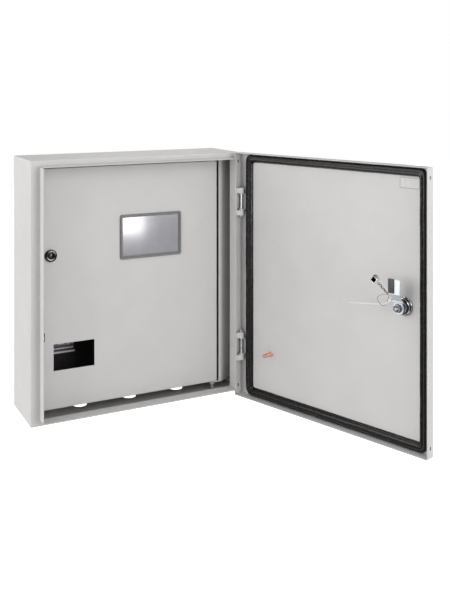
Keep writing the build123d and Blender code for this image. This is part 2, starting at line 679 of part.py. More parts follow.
# ================================================================== spare key
# A socket key on stiff twisted wire. The wire's loop hangs on the tie's tail, and
# turns about it: the loop crosses the tail once in front and once behind.
KEY_S, KEY_Z, KEY_T = 316.8, 42.8, 33.0
KEY_SIDE, KEY_SOCKET, KEY_LENGTH = 11.0, 6.6, 9.0
WIRE_R = 0.7
TAIL_DIR = (TAIL_END - TAIL_BEND).normalized()
TAIL_MID_T = TAIL_T + TIE_THICK / 2
CROSSING = 3.4  # wire's centre to the tail's middle, where they cross


def on_door(s, z, t):
    """A point given by its place on the outer door."""
    return door.origin + S_DIR * s + T_DIR * t + Vector(0, 0, z)


with BuildPart() as key_wire:
    with BuildLine() as route:
        FilletPolyline(
            on_door(338.4, 19.4, 27.0), on_door(337.0, 17.0, 25.6),
            on_door(333.2, 12.0, 22.0), on_door(328.6, 1.6, TAIL_MID_T - CROSSING),
            on_door(326.0, -2.6, TAIL_MID_T - 0.5),
            on_door(323.0, 3.0, TAIL_MID_T + CROSSING), on_door(318.2, 8.4, 28.4),
            on_door(317.6, 13.4, 28.4), on_door(323.6, 17.6, 28.4),
            on_door(332.0, 20.6, 28.6), on_door(338.6, 21.8, 29.0),
            on_door(324.6, 36.2, 33.0),
            radius=(1.2, 2.5, 2.5, 2.0, 2.5, 2.5, 2.0, 4.0, 8.0, 0.9),
        )
    with BuildSketch(Plane(origin=route.line @ 0, z_dir=route.line % 0)):
        Circle(WIRE_R)
    sweep()
save(key_wire, "key_wire")

key_plane = Plane(
    origin=on_door(KEY_S, KEY_Z, KEY_T - KEY_LENGTH / 2),
    x_dir=S_DIR * 0.79 + Vector(0, 0, -0.61),
    z_dir=T_DIR,
)
with BuildPart() as key_bit:
    with BuildSketch(key_plane):
        RectangleRounded(KEY_SIDE, KEY_SIDE, 1.4)
    extrude(amount=KEY_LENGTH)
    with BuildSketch(key_plane.offset(3)):
        Rectangle(KEY_SOCKET, KEY_SOCKET)
    extrude(amount=KEY_LENGTH, mode=Mode.SUBTRACT)
save(key_bit, "key_bit")

# ================================================================== inner front plate
BUSH_R = 4.0
with BuildPart() as inner_door_panel:
    with BuildSketch(front.offset(-PLATE_Y)):
        with Locations((PLATE_MID_X, PLATE_MID_Z)):
            RectangleRounded(PLATE_RIGHT - PLATE_LEFT, PLATE_TOP - PLATE_BOTTOM, 1.0)
    extrude(amount=-PLATE_FOLD)
    with BuildSketch(front.offset(-PLATE_BACK)):
        with Locations((PLATE_MID_X, PLATE_MID_Z)):
            Rectangle(
                PLATE_RIGHT - PLATE_LEFT - 2 * PLATE_SHEET,
                PLATE_TOP - PLATE_BOTTOM - 2 * PLATE_SHEET,
            )
    extrude(amount=-PLATE_FOLD, mode=Mode.SUBTRACT)
    with BuildSketch(front.offset(-PLATE_Y)):
        with Locations((CUTOUT_X, CUTOUT_Z)):
            Rectangle(CUTOUT_WIDTH, CUTOUT_HEIGHT)
        with Locations((WINDOW_X, WINDOW_Z)):
            RectangleRounded(WINDOW_WIDTH - 8, WINDOW_HEIGHT - 8, 3)
        with Locations((INNER_LOCK_X, INNER_LOCK_Z)):
            Circle(8.0)
        with Locations((SIDE_SLOT_X, SIDE_SLOT_Z)):
            SlotOverall(15.5, 3.2, rotation=90)
    extrude(amount=-PLATE_SHEET, mode=Mode.SUBTRACT)
    with BuildSketch(Plane.XY.offset(PLATE_BOTTOM)):
        with Locations((PIVOT_X, PIVOT_Y)):
            Circle(BUSH_R)
    extrude(amount=PLATE_TOP - PLATE_BOTTOM, mode=Mode.SUBTRACT)
save(inner_door_panel, "inner_door_panel")

with BuildPart() as pivot_bushes:
    for up, edge in ((-1, PLATE_BOTTOM), (1, PLATE_TOP)):
        with BuildSketch(Plane.XY.offset(edge)):
            with Locations((PIVOT_X, PIVOT_Y)):
                Circle(BUSH_R)
                Circle(PIVOT_R + 0.06, mode=Mode.SUBTRACT)
        extrude(amount=-up * PLATE_SHEET)
        with BuildSketch(Plane.XY.offset(edge)):
            with Locations((PIVOT_X, PIVOT_Y)):
                Circle(5.2)
                Circle(PIVOT_R + 0.06, mode=Mode.SUBTRACT)
        extrude(amount=up * 0.6)
save(pivot_bushes, "pivot_bushes")

# Window: a stepped bezel in front, the pane, and a clip frame behind the plate.
PANE_WIDTH, PANE_HEIGHT = WINDOW_WIDTH - 8, WINDOW_HEIGHT - 8
with BuildPart() as window_bezel:
    with BuildSketch(front.offset(-PLATE_Y)):
        with Locations((WINDOW_X, WINDOW_Z)):
            RectangleRounded(WINDOW_WIDTH, WINDOW_HEIGHT, 4)
    extrude(amount=3.4, taper=12)
    with BuildSketch(front.offset(-PLATE_Y)):
        with Locations((WINDOW_X, WINDOW_Z)):
            RectangleRounded(WINDOW_WIDTH - 13.6, WINDOW_HEIGHT - 11, 3)
    extrude(amount=3.4, mode=Mode.SUBTRACT)
    with BuildSketch(front.offset(-PLATE_Y + 2.0)):
        with Locations((WINDOW_X, WINDOW_Z)):
            RectangleRounded(WINDOW_WIDTH - 10, WINDOW_HEIGHT - 7.6, 3.4)
    extrude(amount=2, mode=Mode.SUBTRACT)
save(window_bezel, "window_bezel")

with BuildPart() as window_pane:
    with BuildSketch(front.offset(-PLATE_Y)):
        with Locations((WINDOW_X, WINDOW_Z)):
            RectangleRounded(PANE_WIDTH, PANE_HEIGHT, 3)
    extrude(amount=-2.0)
save(window_pane, "window_pane")

with BuildPart() as window_clip_frame:
    with BuildSketch(front.offset(-PLATE_BACK - 0.5)):
        with Locations((WINDOW_X, WINDOW_Z)):
            RectangleRounded(WINDOW_WIDTH, WINDOW_HEIGHT, 4)
            RectangleRounded(
                WINDOW_WIDTH - 14, WINDOW_HEIGHT - 14, 3, mode=Mode.SUBTRACT
            )
    extrude(amount=-2.5)
save(window_clip_frame, "window_clip_frame")

# Quarter-turn lock of the inner plate.
INNER_SPINDLE_R = 5.0
with BuildPart() as inner_lock_housing:
    with BuildSketch(front.offset(-PLATE_Y)):
        with Locations((INNER_LOCK_X, INNER_LOCK_Z)):
            Circle(10.7)
    extrude(amount=4.6)
    fillet(inner_lock_housing.edges().sort_by(Axis.Y)[0], 1.4)
    with BuildSketch(front.offset(-PLATE_Y)):
        with Locations((INNER_LOCK_X, INNER_LOCK_Z)):
            Circle(8.0)
    extrude(amount=-14)
    with BuildSketch(front.offset(-PLATE_Y + 6)):
        with Locations((INNER_LOCK_X, INNER_LOCK_Z)):
            Circle(INNER_SPINDLE_R + 0.05)
    extrude(amount=-22, mode=Mode.SUBTRACT)
save(inner_lock_housing, "inner_lock_housing")

with BuildPart() as inner_lock_nut:
    with BuildSketch(front.offset(-PLATE_BACK)):
        with Locations((INNER_LOCK_X, INNER_LOCK_Z)):
            RegularPolygon(11.0, 6, major_radius=False)
            Circle(8.0, mode=Mode.SUBTRACT)
    extrude(amount=-5)
save(inner_lock_nut, "inner_lock_nut")

# ================================================================== inner lock rotor
CAM_Y = PLATE_Y + 15.0
with BuildPart() as inner_lock_spindle:
    with BuildSketch(front.offset(-PLATE_Y + 4.2)):
        with Locations((INNER_LOCK_X, INNER_LOCK_Z)):
            Circle(INNER_SPINDLE_R)
    extrude(amount=-19.2)
    with BuildSketch(front.offset(-CAM_Y)):
        with Locations((INNER_LOCK_X, INNER_LOCK_Z)):
            Rectangle(6.5, 6.5)
    extrude(amount=-2)
    with BuildSketch(front.offset(-PLATE_Y + 4.2)):
        with Locations((INNER_LOCK_X, INNER_LOCK_Z)):
            Rectangle(2.0, 7.6)
    extrude(amount=-3, mode=Mode.SUBTRACT)
save(inner_lock_spindle, "inner_lock_spindle")

with BuildPart() as inner_lock_cam:
    with BuildSketch(front.offset(-CAM_Y)):
        with Locations((INNER_LOCK_X, INNER_LOCK_Z)):
            Circle(8.0)
            with Locations((0, CAM_REACH / 2)):
                Rectangle(14, CAM_REACH)
            Rectangle(6.5, 6.5, mode=Mode.SUBTRACT)
    extrude(amount=-2)
save(inner_lock_cam, "inner_lock_cam")

with BuildPart() as inner_cam_screw:
    with BuildSketch(front.offset(-CAM_Y - 2)):
        with Locations((INNER_LOCK_X, INNER_LOCK_Z)):
            Circle(6.0)
    extrude(amount=-1)
    with BuildSketch(front.offset(-CAM_Y - 3)):
        with Locations((INNER_LOCK_X, INNER_LOCK_Z)):
            RegularPolygon(3.5, 6, major_radius=False)
    extrude(amount=-3)
save(inner_cam_screw, "inner_cam_screw")
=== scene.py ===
import json
import math

import bmesh
import bpy
from mathutils import Matrix, Vector


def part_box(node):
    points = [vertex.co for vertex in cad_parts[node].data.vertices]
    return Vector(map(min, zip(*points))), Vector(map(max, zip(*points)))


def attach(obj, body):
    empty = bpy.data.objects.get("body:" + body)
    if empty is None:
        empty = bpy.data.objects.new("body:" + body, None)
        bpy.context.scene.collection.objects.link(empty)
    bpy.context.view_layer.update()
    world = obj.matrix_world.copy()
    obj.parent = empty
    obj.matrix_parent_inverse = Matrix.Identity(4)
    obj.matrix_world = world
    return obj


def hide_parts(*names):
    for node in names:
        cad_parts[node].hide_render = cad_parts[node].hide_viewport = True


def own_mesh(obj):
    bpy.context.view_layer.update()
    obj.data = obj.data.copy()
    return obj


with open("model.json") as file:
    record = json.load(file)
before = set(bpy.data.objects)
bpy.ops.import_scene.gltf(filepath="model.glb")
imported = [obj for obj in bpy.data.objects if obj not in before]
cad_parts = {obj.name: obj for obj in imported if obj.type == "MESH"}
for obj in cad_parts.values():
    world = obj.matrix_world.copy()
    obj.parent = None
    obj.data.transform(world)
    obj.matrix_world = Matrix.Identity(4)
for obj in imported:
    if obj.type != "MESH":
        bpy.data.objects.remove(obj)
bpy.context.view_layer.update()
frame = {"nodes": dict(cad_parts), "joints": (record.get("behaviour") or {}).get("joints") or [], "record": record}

MM = 0.001
NODES = frame["nodes"]
JOINTS = {joint["name"]: joint for joint in frame["joints"]}


# ---------------------------------------------------------------- places read from the frame
def low(node):
    return Vector(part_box(node)[0])


def high(node):
    return Vector(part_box(node)[1])


def middle(node):
    return (low(node) + high(node)) / 2


# The outer door's own axes at rest: S from hinge edge to free edge, T into the cabinet.
T_DIR = Vector(JOINTS["lock_turn"]["axis"]).normalized()
S_DIR = Vector((-T_DIR.y, T_DIR.x, 0))
UP = Vector((0, 0, 1))
LOCK_AXIS = Vector(JOINTS["lock_turn"]["pos_m"])
DOOR_TURN = Matrix((S_DIR, UP, T_DIR)).transposed()


def along(node, direction):
    """Lowest and highest reach of a node's vertices in a direction."""
    reach = [vertex.co.dot(direction) for vertex in NODES[node].data.vertices]
    return min(reach), max(reach)


DOOR_S, DOOR_FREE = along("outer_door_panel", S_DIR)
DOOR_T = along("outer_door_panel", T_DIR)[0]


def on_door(s, z, t):
    """A point by millimetres from the door's hinge edge, its middle and its outer face."""
    return S_DIR * (DOOR_S + s * MM) + T_DIR * (DOOR_T + t * MM) + UP * (z * MM)


# ---------------------------------------------------------------- shader helpers
RANGE_SOCKETS = ("From Min", "From Max", "To Min", "To Max")
EDGE_SAMPLES = 6


class Nodes:
    """A node tree that is built one node at a time."""

    def __init__(self, owner):
        owner.use_nodes = True
        self.tree = owner.node_tree

    def add(self, kind, **settings):
        node = self.tree.nodes.new(kind)
        for key, value in settings.items():
            setattr(node, key, value)
        return node

    def feed(self, socket, value):
        if isinstance(value, bpy.types.NodeSocket):
            self.tree.links.new(value, socket)
        else:
            socket.default_value = value

    def span(self, value, before, after, smooth=False):
        """Map the range before onto the range after, clamped."""
        node = self.add("ShaderNodeMapRange")
        if smooth:
            node.interpolation_type = "SMOOTHSTEP"
        self.feed(node.inputs["Value"], value)
        for socket, number in zip(RANGE_SOCKETS, (*before, *after)):
            self.feed(node.inputs[socket], number)
        return node.outputs["Result"]

    def math(self, operation, *values):
        node = self.add("ShaderNodeMath", operation=operation)
        for socket, value in zip(node.inputs, values):
            self.feed(socket, value)
        return node.outputs[0]

    def blend(self, factor, first, second):
        node = self.add("ShaderNodeMix")
        self.feed(node.inputs["Factor"], factor)
        self.feed(node.inputs["A"], first)
        self.feed(node.inputs["B"], second)
        return node.outputs["Result"]


class Shader(Nodes):
    """A node material whose patterns follow the piece's own coordinates."""

    def __init__(self, name):
        self.material = bpy.data.materials.new(name)
        super().__init__(self.material)
        self.surface = self.tree.nodes["Principled BSDF"]
        self.place = self.add("ShaderNodeTexCoord").outputs["Object"]
        self.relief = None  # the normal made so far by soften and bump

    def set(self, **values):
        for key, value in values.items():
            self.feed(self.surface.inputs[key.replace("_", " ")], value)

    def noise(self, scale, detail=3, rough=0.5, stretch=None):
        place = self.place
        if stretch:
            spread = self.add("ShaderNodeVectorMath", operation="MULTIPLY")
            self.feed(spread.inputs[0], place)
            self.feed(spread.inputs[1], stretch)
            place = spread.outputs[0]
        noise = self.add("ShaderNodeTexNoise")
        self.feed(noise.inputs["Vector"], place)
        self.feed(noise.inputs["Scale"], scale)
        self.feed(noise.inputs["Detail"], detail)
        self.feed(noise.inputs["Roughness"], rough)
        return noise.outputs["Fac"]

    def cells(self, scale):
        cells = self.add("ShaderNodeTexVoronoi")
        self.feed(cells.inputs["Vector"], self.place)
        self.feed(cells.inputs["Scale"], scale)
        return cells.outputs["Distance"]

    def mix(self, factor, first, second):
        node = self.add("ShaderNodeMix", data_type="RGBA")
        self.feed(node.inputs["Factor"], factor)
        self.feed(node.inputs["A"], first)
        self.feed(node.inputs["B"], second)
        return node.outputs["Result"]

    def axis(self, name):
        node = self.add("ShaderNodeSeparateXYZ")
        self.feed(node.inputs[0], self.place)
        return node.outputs[name]

    def edges(self, radius):
        """White on sharp edges, from how far a rounded normal turns away from the face's own."""
        bevel = self.add("ShaderNodeBevel", samples=EDGE_SAMPLES)
        self.feed(bevel.inputs["Radius"], radius)
        shape = self.add("ShaderNodeNewGeometry")
        turn = self.add("ShaderNodeVectorMath", operation="DOT_PRODUCT")
        self.feed(turn.inputs[0], bevel.outputs[0])
        self.feed(turn.inputs[1], shape.outputs["Normal"])
        return self.span(self.math("SUBTRACT", 1.0, turn.outputs["Value"]), (0.02, 0.2), (0, 1))

    def soften(self, radius):
        """Shade sharp edges as if they had this radius."""
        bevel = self.add("ShaderNodeBevel", samples=EDGE_SAMPLES)
        self.feed(bevel.inputs["Radius"], radius)
        self.relief = bevel.outputs[0]

    def nooks(self, distance, reach):
        """White in nooks that open sky hardly reaches, within this distance."""
        sky = self.add("ShaderNodeAmbientOcclusion", samples=EDGE_SAMPLES)
        self.feed(sky.inputs["Distance"], distance)
        return self.span(sky.outputs["AO"], reach, (1, 0))

    def hollow(self):
        """How dark the mesh says that a point is painted, 0 to 1: painted shade and painted
        reflection on most pieces, the strands' tone on the key wire.
        """
        return self.add("ShaderNodeAttribute", attribute_name="hollow").outputs["Fac"]

    def bump(self, height, strength, distance):
        node = self.add("ShaderNodeBump")
        self.feed(node.inputs["Height"], height)
        self.feed(node.inputs["Strength"], strength)
        self.feed(node.inputs["Distance"], distance)
        if self.relief:
            self.feed(node.inputs["Normal"], self.relief)
        self.relief = node.outputs[0]
        self.feed(self.surface.inputs["Normal"], self.relief)


def grey(value, tint=(1, 1, 1)):
    return (value * tint[0], value * tint[1], value * tint[2], 1)


# ---------------------------------------------------------------- materials
LIGHT_GREY = (1.018, 1.0, 0.99)


def powder_coat():
    """Fine-textured light grey powder coat, slightly mottled, with worn edges painted lighter
    as a painted edge highlight, and painted shade in its nooks.
    """
    s = Shader("powder_coat")
    mottle = s.noise(18, 4, 0.55)
    speck = s.noise(900, 2, 0.6)
    base = s.mix(s.span(mottle, (0.3, 0.7), (0, 1)), grey(0.558, LIGHT_GREY), grey(0.588, LIGHT_GREY))
    base = s.mix(s.span(speck, (0.35, 0.65), (0.0, 0.35)), base, grey(0.46, LIGHT_GREY))
    smudge = s.span(s.noise(6, 6, 0.62), (0.60, 0.78), (0, 0.13), True)
    base = s.mix(smudge, base, grey(0.42, (1, 0.985, 0.95)))
    # Sharp edges painted lighter: partly worn coat, partly a painted edge highlight.
    worn_and_highlit_edges = s.math("MULTIPLY", s.edges(0.0011), s.span(s.noise(70, 4, 0.7), (0.5, 0.68), (0, 0.55)))
    base = s.mix(worn_and_highlit_edges, base, grey(0.70))
    # Painted shade: the coat turns dark grey in nooks that open sky hardly reaches.
    shade = s.math("MULTIPLY", s.nooks(0.05, (0.03, 0.22)), 0.65)
    s.set(Base_Color=s.mix(shade, base, grey(0.10)))
    s.set(Roughness=s.span(s.noise(55, 4, 0.6), (0.3, 0.7), (0.40, 0.54)))
    s.soften(0.0009)
    s.bump(s.noise(420, 2, 0.5), 0.22, 0.0004)
    s.bump(s.noise(1500, 1, 0.5), 0.12, 0.00015)
    return s.material


def zinc():
    """Bright zinc plate with a faint blue and yellow tint, small spots and fine drawn lines."""
    s = Shader("zinc")
    cloud = s.noise(160, 3, 0.6)
    base = s.mix(s.span(cloud, (0.35, 0.65), (0, 1)), (0.80, 0.83, 0.88, 1), (0.86, 0.85, 0.80, 1))
    spots = s.span(s.cells(700), (0.0, 0.25), (0.4, 0.0))
    s.set(Base_Color=s.mix(spots, base, (0.55, 0.56, 0.58, 1)), Metallic=0.85)
    s.set(Roughness=s.span(s.noise(900, 3, 0.6, (1, 1, 0.15)), (0.3, 0.7), (0.20, 0.36)))
    s.bump(s.noise(1400, 2, 0.5, (1, 1, 0.12)), 0.12, 0.0001)
    return s.material


# Painted reflection: the rail's colour is banded across its height, dark on its faces and bright along its folds.
RAIL_BANDS = (
    (0.15, 0.55), (0.27, 0.14), (0.50, 0.09), (0.55, 0.95), (0.62, 0.95), (0.66, 0.05), (0.75, 0.08),
    (0.80, 0.90), (0.90, 0.85), (0.96, 0.15),
)  # share of the way from the rail's middle to its edges, and how bright


def rail_zinc():
    """Rolled zinc rail, with painted reflection: dark where its faces would mirror the cabinet,
    bright along its folds.
    """
    s = Shader("rail_zinc")
    height = s.span(s.axis("Z"), (low("din_rail").z, high("din_rail").z), (-1, 1))
    painted_reflection_bands = s.add("ShaderNodeValToRGB")
    s.feed(painted_reflection_bands.inputs["Fac"], s.math("ABSOLUTE", height))
    painted_reflection_bands.color_ramp.elements[0].color = grey(0.62)
    painted_reflection_bands.color_ramp.elements[1].color = grey(0.03)
    for place, value in RAIL_BANDS:
        painted_reflection_bands.color_ramp.elements.new(place).color = grey(value, (0.98, 1, 1.04))
    dull = s.span(s.noise(240, 4), (0.3, 0.7), (0, 0.25))
    s.set(Base_Color=s.mix(dull, painted_reflection_bands.outputs["Color"], grey(0.30)), Metallic=0.1)
    s.set(Roughness=s.span(s.noise(900, 3, 0.6, (0.15, 1, 1)), (0.3, 0.7), (0.24, 0.40)))
    s.bump(s.noise(1400, 2, 0.5, (0.12, 1, 1)), 0.12, 0.0001)
    return s.material


def black_plate():
    """Black coated sheet, with dust in the coat. Its black is painted shade, standing in for the
    dark inside of the cabinet.
    """
    s = Shader("black_plate")
    dust = s.span(s.noise(40, 5, 0.7), (0.45, 0.8), (0, 1))
    s.set(Base_Color=s.mix(dust, grey(0.004), grey(0.012)))
    s.set(Roughness=s.span(s.noise(300, 3), (0.3, 0.7), (0.55, 0.75)))
    s.bump(s.noise(700, 2), 0.25, 0.0002)
    return s.material


def foam():
    """Poured black gasket: a fairly glossy skin with small pores and slow waves."""
    s = Shader("foam")
    s.set(Base_Color=s.mix(s.span(s.noise(90, 4, 0.6), (0.3, 0.7), (0, 1)), grey(0.003), grey(0.008)))
    s.set(Roughness=s.span(s.noise(120, 4, 0.6), (0.3, 0.7), (0.20, 0.32)), Specular_IOR_Level=0.36)
    s.bump(s.noise(140, 3, 0.5), 0.35, 0.0006)
    s.bump(s.span(s.cells(1500), (0.0, 0.3), (0, 1)), 0.25, 0.0001)
    return s.material


def copper():
    """Copper plated thread, tarnished in patches."""
    s = Shader("copper")
    tarnish = s.span(s.noise(500, 4, 0.65), (0.4, 0.65), (0, 1))
    s.set(Base_Color=s.mix(tarnish, (0.84, 0.46, 0.36, 1), (0.55, 0.24, 0.18, 1)), Metallic=0.8)
    s.set(Roughness=s.span(s.noise(800, 3), (0.3, 0.7), (0.24, 0.45)))
    s.bump(s.noise(1500, 2), 0.15, 0.0001)
    return s.material


def lock_chrome(name, light, dark):
    """Chrome plate between a light and a dark grey, with fine scratches and painted shade in its hollows."""
    s = Shader(name)
    base = s.mix(s.span(s.noise(220, 3), (0.35, 0.65), (0, 1)), grey(light, (0.96, 1, 1.05)), grey(dark))
    # Painted shade: points that the mesh marks as deep in a hollow are painted near black.
    s.set(Base_Color=s.mix(s.hollow(), base, grey(0.006)), Metallic=1.0)
    scratch = s.span(s.noise(1200, 4, 0.7, (1, 0.2, 1)), (0.55, 0.75), (0, 1))
    s.set(Roughness=s.mix(scratch, grey(0.06), grey(0.20)))
    s.bump(s.noise(450, 3), 0.10, 0.0002)
    return s.material


def tongue_steel():
    """Blue-white zinc plate on punched sheet."""
    s = Shader("tongue_steel")
    cloud = s.span(s.noise(120, 4), (0.35, 0.65), (0, 1))
    s.set(Base_Color=s.mix(cloud, (0.62, 0.67, 0.75, 1), (0.72, 0.75, 0.79, 1)), Metallic=0.6)
    s.set(Roughness=s.span(s.noise(1100, 3, 0.6, (1, 1, 0.1)), (0.3, 0.7), (0.30, 0.46)))
    s.bump(s.noise(1600, 2, 0.5, (1, 1, 0.1)), 0.12, 0.0001)
    return s.material


def moulding(name, dark, light, rough=(0.38, 0.52)):
    """Moulded plastic with a fine spark-eroded grain."""
    s = Shader(name)
    s.set(Base_Color=s.mix(s.span(s.noise(150, 3), (0.3, 0.7), (0, 1)), dark, light))
    s.set(Roughness=s.span(s.noise(600, 3), (0.3, 0.7), rough))
    s.bump(s.noise(1300, 2, 0.6), 0.18, 0.00012)
    return s.material


def clear_nylon():
    """Natural nylon strap, milky and a little translucent."""
    s = Shader("clear_nylon")
    cloud = s.span(s.noise(180, 3), (0.3, 0.7), (0, 1))
    s.set(Base_Color=s.mix(cloud, (0.62, 0.63, 0.63, 1), (0.74, 0.74, 0.73, 1)))
    s.set(Roughness=s.span(s.noise(700, 3), (0.3, 0.7), (0.30, 0.45)), Subsurface_Weight=0.25)
    s.surface.inputs["Subsurface Radius"].default_value = (0.002, 0.002, 0.002)
    s.bump(s.noise(900, 2), 0.1, 0.0001)
    return s.material


def wire_sleeve():
    """Sleeved wire: one strand of the twist is tan, and the other is dark brown."""
    s = Shader("wire_sleeve")
    mottle = s.span(s.noise(150, 3), (0.3, 0.7), (0, 1))
    tan = s.mix(mottle, (0.36, 0.27, 0.22, 1), (0.50, 0.40, 0.34, 1))
    s.set(Base_Color=s.mix(s.hollow(), tan, (0.030, 0.016, 0.012, 1)))
    s.set(Roughness=s.span(s.noise(600, 3), (0.3, 0.7), (0.22, 0.36)))
    s.bump(s.noise(1300, 2, 0.6), 0.18, 0.00012)
    return s.material


def pane():
    """Silver-grey pane: a cloudy film under a clear glossy face."""
    s = Shader("pane")
    film = s.span(s.noise(55, 4, 0.55), (0.3, 0.7), (0, 1))
    base = s.mix(film, grey(0.40, (0.98, 0.98, 1.04)), grey(0.44, (0.98, 0.98, 1.04)))
    s.set(Base_Color=base, Metallic=0.4, Coat_Weight=0.7)
    s.set(Roughness=s.span(s.noise(400, 3), (0.3, 0.7), (0.09, 0.12)))
    s.surface.inputs["Coat Roughness"].default_value = 0.06
    s.bump(s.noise(35, 2), 0.05, 0.0006)
    return s.material


def embossed_plate():
    """Painted plate, with painted shade in the groove inside its rim."""
    s = Shader("embossed_plate")
    mottle = s.span(s.noise(150, 3), (0.3, 0.7), (0, 1))
    base = s.mix(mottle, grey(0.55, LIGHT_GREY), grey(0.60, LIGHT_GREY))
    # Painted shade in the groove that the mesh marks.
    s.set(Base_Color=s.mix(s.hollow(), base, grey(0.26, LIGHT_GREY)))
    s.set(Roughness=s.span(s.noise(600, 3), (0.3, 0.7), (0.34, 0.46)))
    s.bump(s.noise(1300, 2, 0.6), 0.18, 0.00012)
    return s.material


MATERIALS = {
    "powder_coat": powder_coat(),
    "zinc": zinc(),
    "black_plate": black_plate(),
    "foam": foam(),
    "copper": copper(),
    "lock_chrome": lock_chrome("lock_chrome", 0.55, 0.26),
    "tongue_steel": tongue_steel(),
    "black_nylon": moulding("black_nylon", grey(0.022), grey(0.040), (0.3, 0.45)),
    "rubber": moulding("rubber", grey(0.010), grey(0.018), (0.55, 0.7)),
    "clear_nylon": clear_nylon(),
    "white_nylon": moulding("white_nylon", grey(0.68), grey(0.76)),
    "key_wire": wire_sleeve(),
    "key_metal": lock_chrome("key_metal", 0.95, 0.70),
    "window_plastic": moulding("window_plastic", grey(0.15), grey(0.19), (0.34, 0.46)),
    "pane": pane(),
    "data_plate": embossed_plate(),
}
NODE_SLOT = {row["node"]: row["material_slot"] for row in frame["record"]["subparts"]}
OWN_FINISH = {"din_rail": rail_zinc(), "hinge_rivets": MATERIALS["powder_coat"]}
for node, thing in NODES.items():
    thing.data.materials.clear()
    thing.data.materials.append(OWN_FINISH.get(node, MATERIALS[NODE_SLOT[node]]))


# ---------------------------------------------------------------- mesh helpers
BODIES = frame["record"]["behaviour"]["bodies"]
BODY_OF = {node: body for body, nodes in BODIES.items() for node in nodes}


def add_piece(name, shape, node, crease=32.0, hollow=None):
    """Make a piece that replaces a CAD node and takes over its body, slot and finish. Folds
    sharper than crease degrees stay sharp, and hollow is how dark each vertex is painted:
    painted shade and painted reflection on most pieces, the strands' tone on the key wire."""
    mesh = bpy.data.meshes.new(name)
    mesh.from_pydata([tuple(vertex) for vertex in shape.verts], [], shape.faces)
    work = bmesh.new()
    work.from_mesh(mesh)
    bmesh.ops.recalc_face_normals(work, faces=work.faces)
    work.to_mesh(mesh)
    work.free()
    mesh.shade_smooth()
    mesh.set_sharp_from_angle(angle=math.radians(crease))
    if hollow:
        depth = mesh.attributes.new("hollow", "FLOAT", "POINT")
        depth.data.foreach_set("value", hollow)
    mesh.materials.append(MATERIALS[NODE_SLOT[node]])
    piece = bpy.data.objects.new(name, mesh)
    bpy.context.scene.collection.objects.link(piece)
    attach(piece, BODY_OF[node])
    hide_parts(node)
    return piece


SIXTH = math.tau / 6  # from one flat of a hexagon to the next


class Mesh:
    """Collects vertices and faces for one piece."""

    def __init__(self):
        self.verts, self.faces = [], []

    def ring_surface(self, rings, closed=False):
        """Skin a list of equal rings of points. The last ring joins the first if closed, and
        else both ends are capped."""
        start, count, sides = len(self.verts), len(rings), len(rings[0])
        for ring in rings:
            self.verts.extend(ring)
        for i in range(count if closed else count - 1):
            for j in range(sides):
                a = start + i * sides
                b = start + (i + 1) % count * sides
                k = (j + 1) % sides
                self.faces.append((a + j, a + k, b + k, b + j))
        if not closed:
            self.faces.append(tuple(range(start, start + sides)))
            last = start + (count - 1) * sides
            self.faces.append(tuple(range(last, last + sides)))

    def turned(self, centre, turn, profile, sides=72, closed=False):
        """Turn a profile of (radius, depth, flats) about an axis. turn's columns are two
        directions across the axis and the axis; flats is half a hexagon's width, or 0."""
        rings = []
        for radius, depth, flats in profile:
            ring = []
            for j in range(sides):
                angle = math.tau * j / sides
                reach = radius
                if flats:
                    off_flat = (angle + SIXTH / 2) % SIXTH - SIXTH / 2
                    reach = min(radius, flats / math.cos(off_flat))
                local = Vector((reach * math.cos(angle), reach * math.sin(angle), depth))
                ring.append(centre + turn @ (local * MM))
            rings.append(ring)
        self.ring_surface(rings, closed)

    def threaded(self, centre, turn, radius, start, end, pitch, cut, sides=36):
        """A screw thread from start to end along the axis, with a chamfered tip."""
        rings = []
        steps = max(8, int(abs(end - start) / pitch * 8))
        for i in range(steps + 1):
            depth = start + (end - start) * i / steps
            ring = []
            for j in range(sides):
                turns = abs(depth - start) / pitch + j / sides
                groove = cut * abs(2 * (turns % 1) - 1)
                tip = max(0.0, 0.8 - abs(end - depth))
                reach = radius - groove - tip * 0.5
                angle = math.tau * j / sides
                local = Vector((reach * math.cos(angle), reach * math.sin(angle), depth))
                ring.append(centre + turn @ (local * MM))
            rings.append(ring)
        self.ring_surface(rings)

    def tube(self, path, radius, sides=12):
        """A round tube along a path of points."""
        rings = []
        normal = None
        last = len(path) - 1
        for i, point in enumerate(path):
            ahead = (path[min(i + 1, last)] - path[max(i - 1, 0)]).normalized()
            if normal is None:
                normal = ahead.orthogonal().normalized()
            normal = (normal - ahead * normal.dot(ahead)).normalized()
            side = ahead.cross(normal)
            angles = [math.tau * j / sides for j in range(sides)]
            rings.append([
                point + (normal * math.cos(angle) + side * math.sin(angle)) * radius * MM
                for angle in angles
            ])
        self.ring_surface(rings)

    def swept(self, path, frames, profile):
        """Sweep a closed profile of (across, out) in millimetres along a closed path."""
        rings = [
            [point + (across * x + out * y) * MM for x, y in profile]
            for point, (across, out) in zip(path, frames)
        ]
        self.ring_surface(rings, closed=True)

    def block(self, centre, turn, size, bevel):
        """A box with all its edges rounded off."""
        work = bmesh.new()
        bmesh.ops.create_cube(work, size=1.0)
        for vertex in work.verts:
            vertex.co = Vector(c * s * MM for c, s in zip(vertex.co, size))
        bmesh.ops.bevel(
            work, geom=work.edges[:], offset=bevel * MM, segments=3, affect="EDGES", profile=0.5
        )
        start = len(self.verts)
        work.verts.index_update()
        self.verts.extend(centre + turn @ vertex.co for vertex in work.verts)
        self.faces.extend(tuple(start + v.index for v in face.verts) for face in work.faces)
        work.free()


def smooth_path(points, steps=8):
    """Points along a Catmull-Rom curve through the given ones."""
    ends = [points[0] * 2 - points[1], *points, points[-1] * 2 - points[-2]]
    path = []
    for a, b, c, d in zip(ends, ends[1:], ends[2:], ends[3:]):
        for i in range(steps):
            t = i / steps
            bend = (2 * a - 5 * b + 4 * c - d) * t**2 + (3 * b - a - 3 * c + d) * t**3
            path.append(0.5 * (2 * b + (c - a) * t + bend))
    return path + [points[-1]]


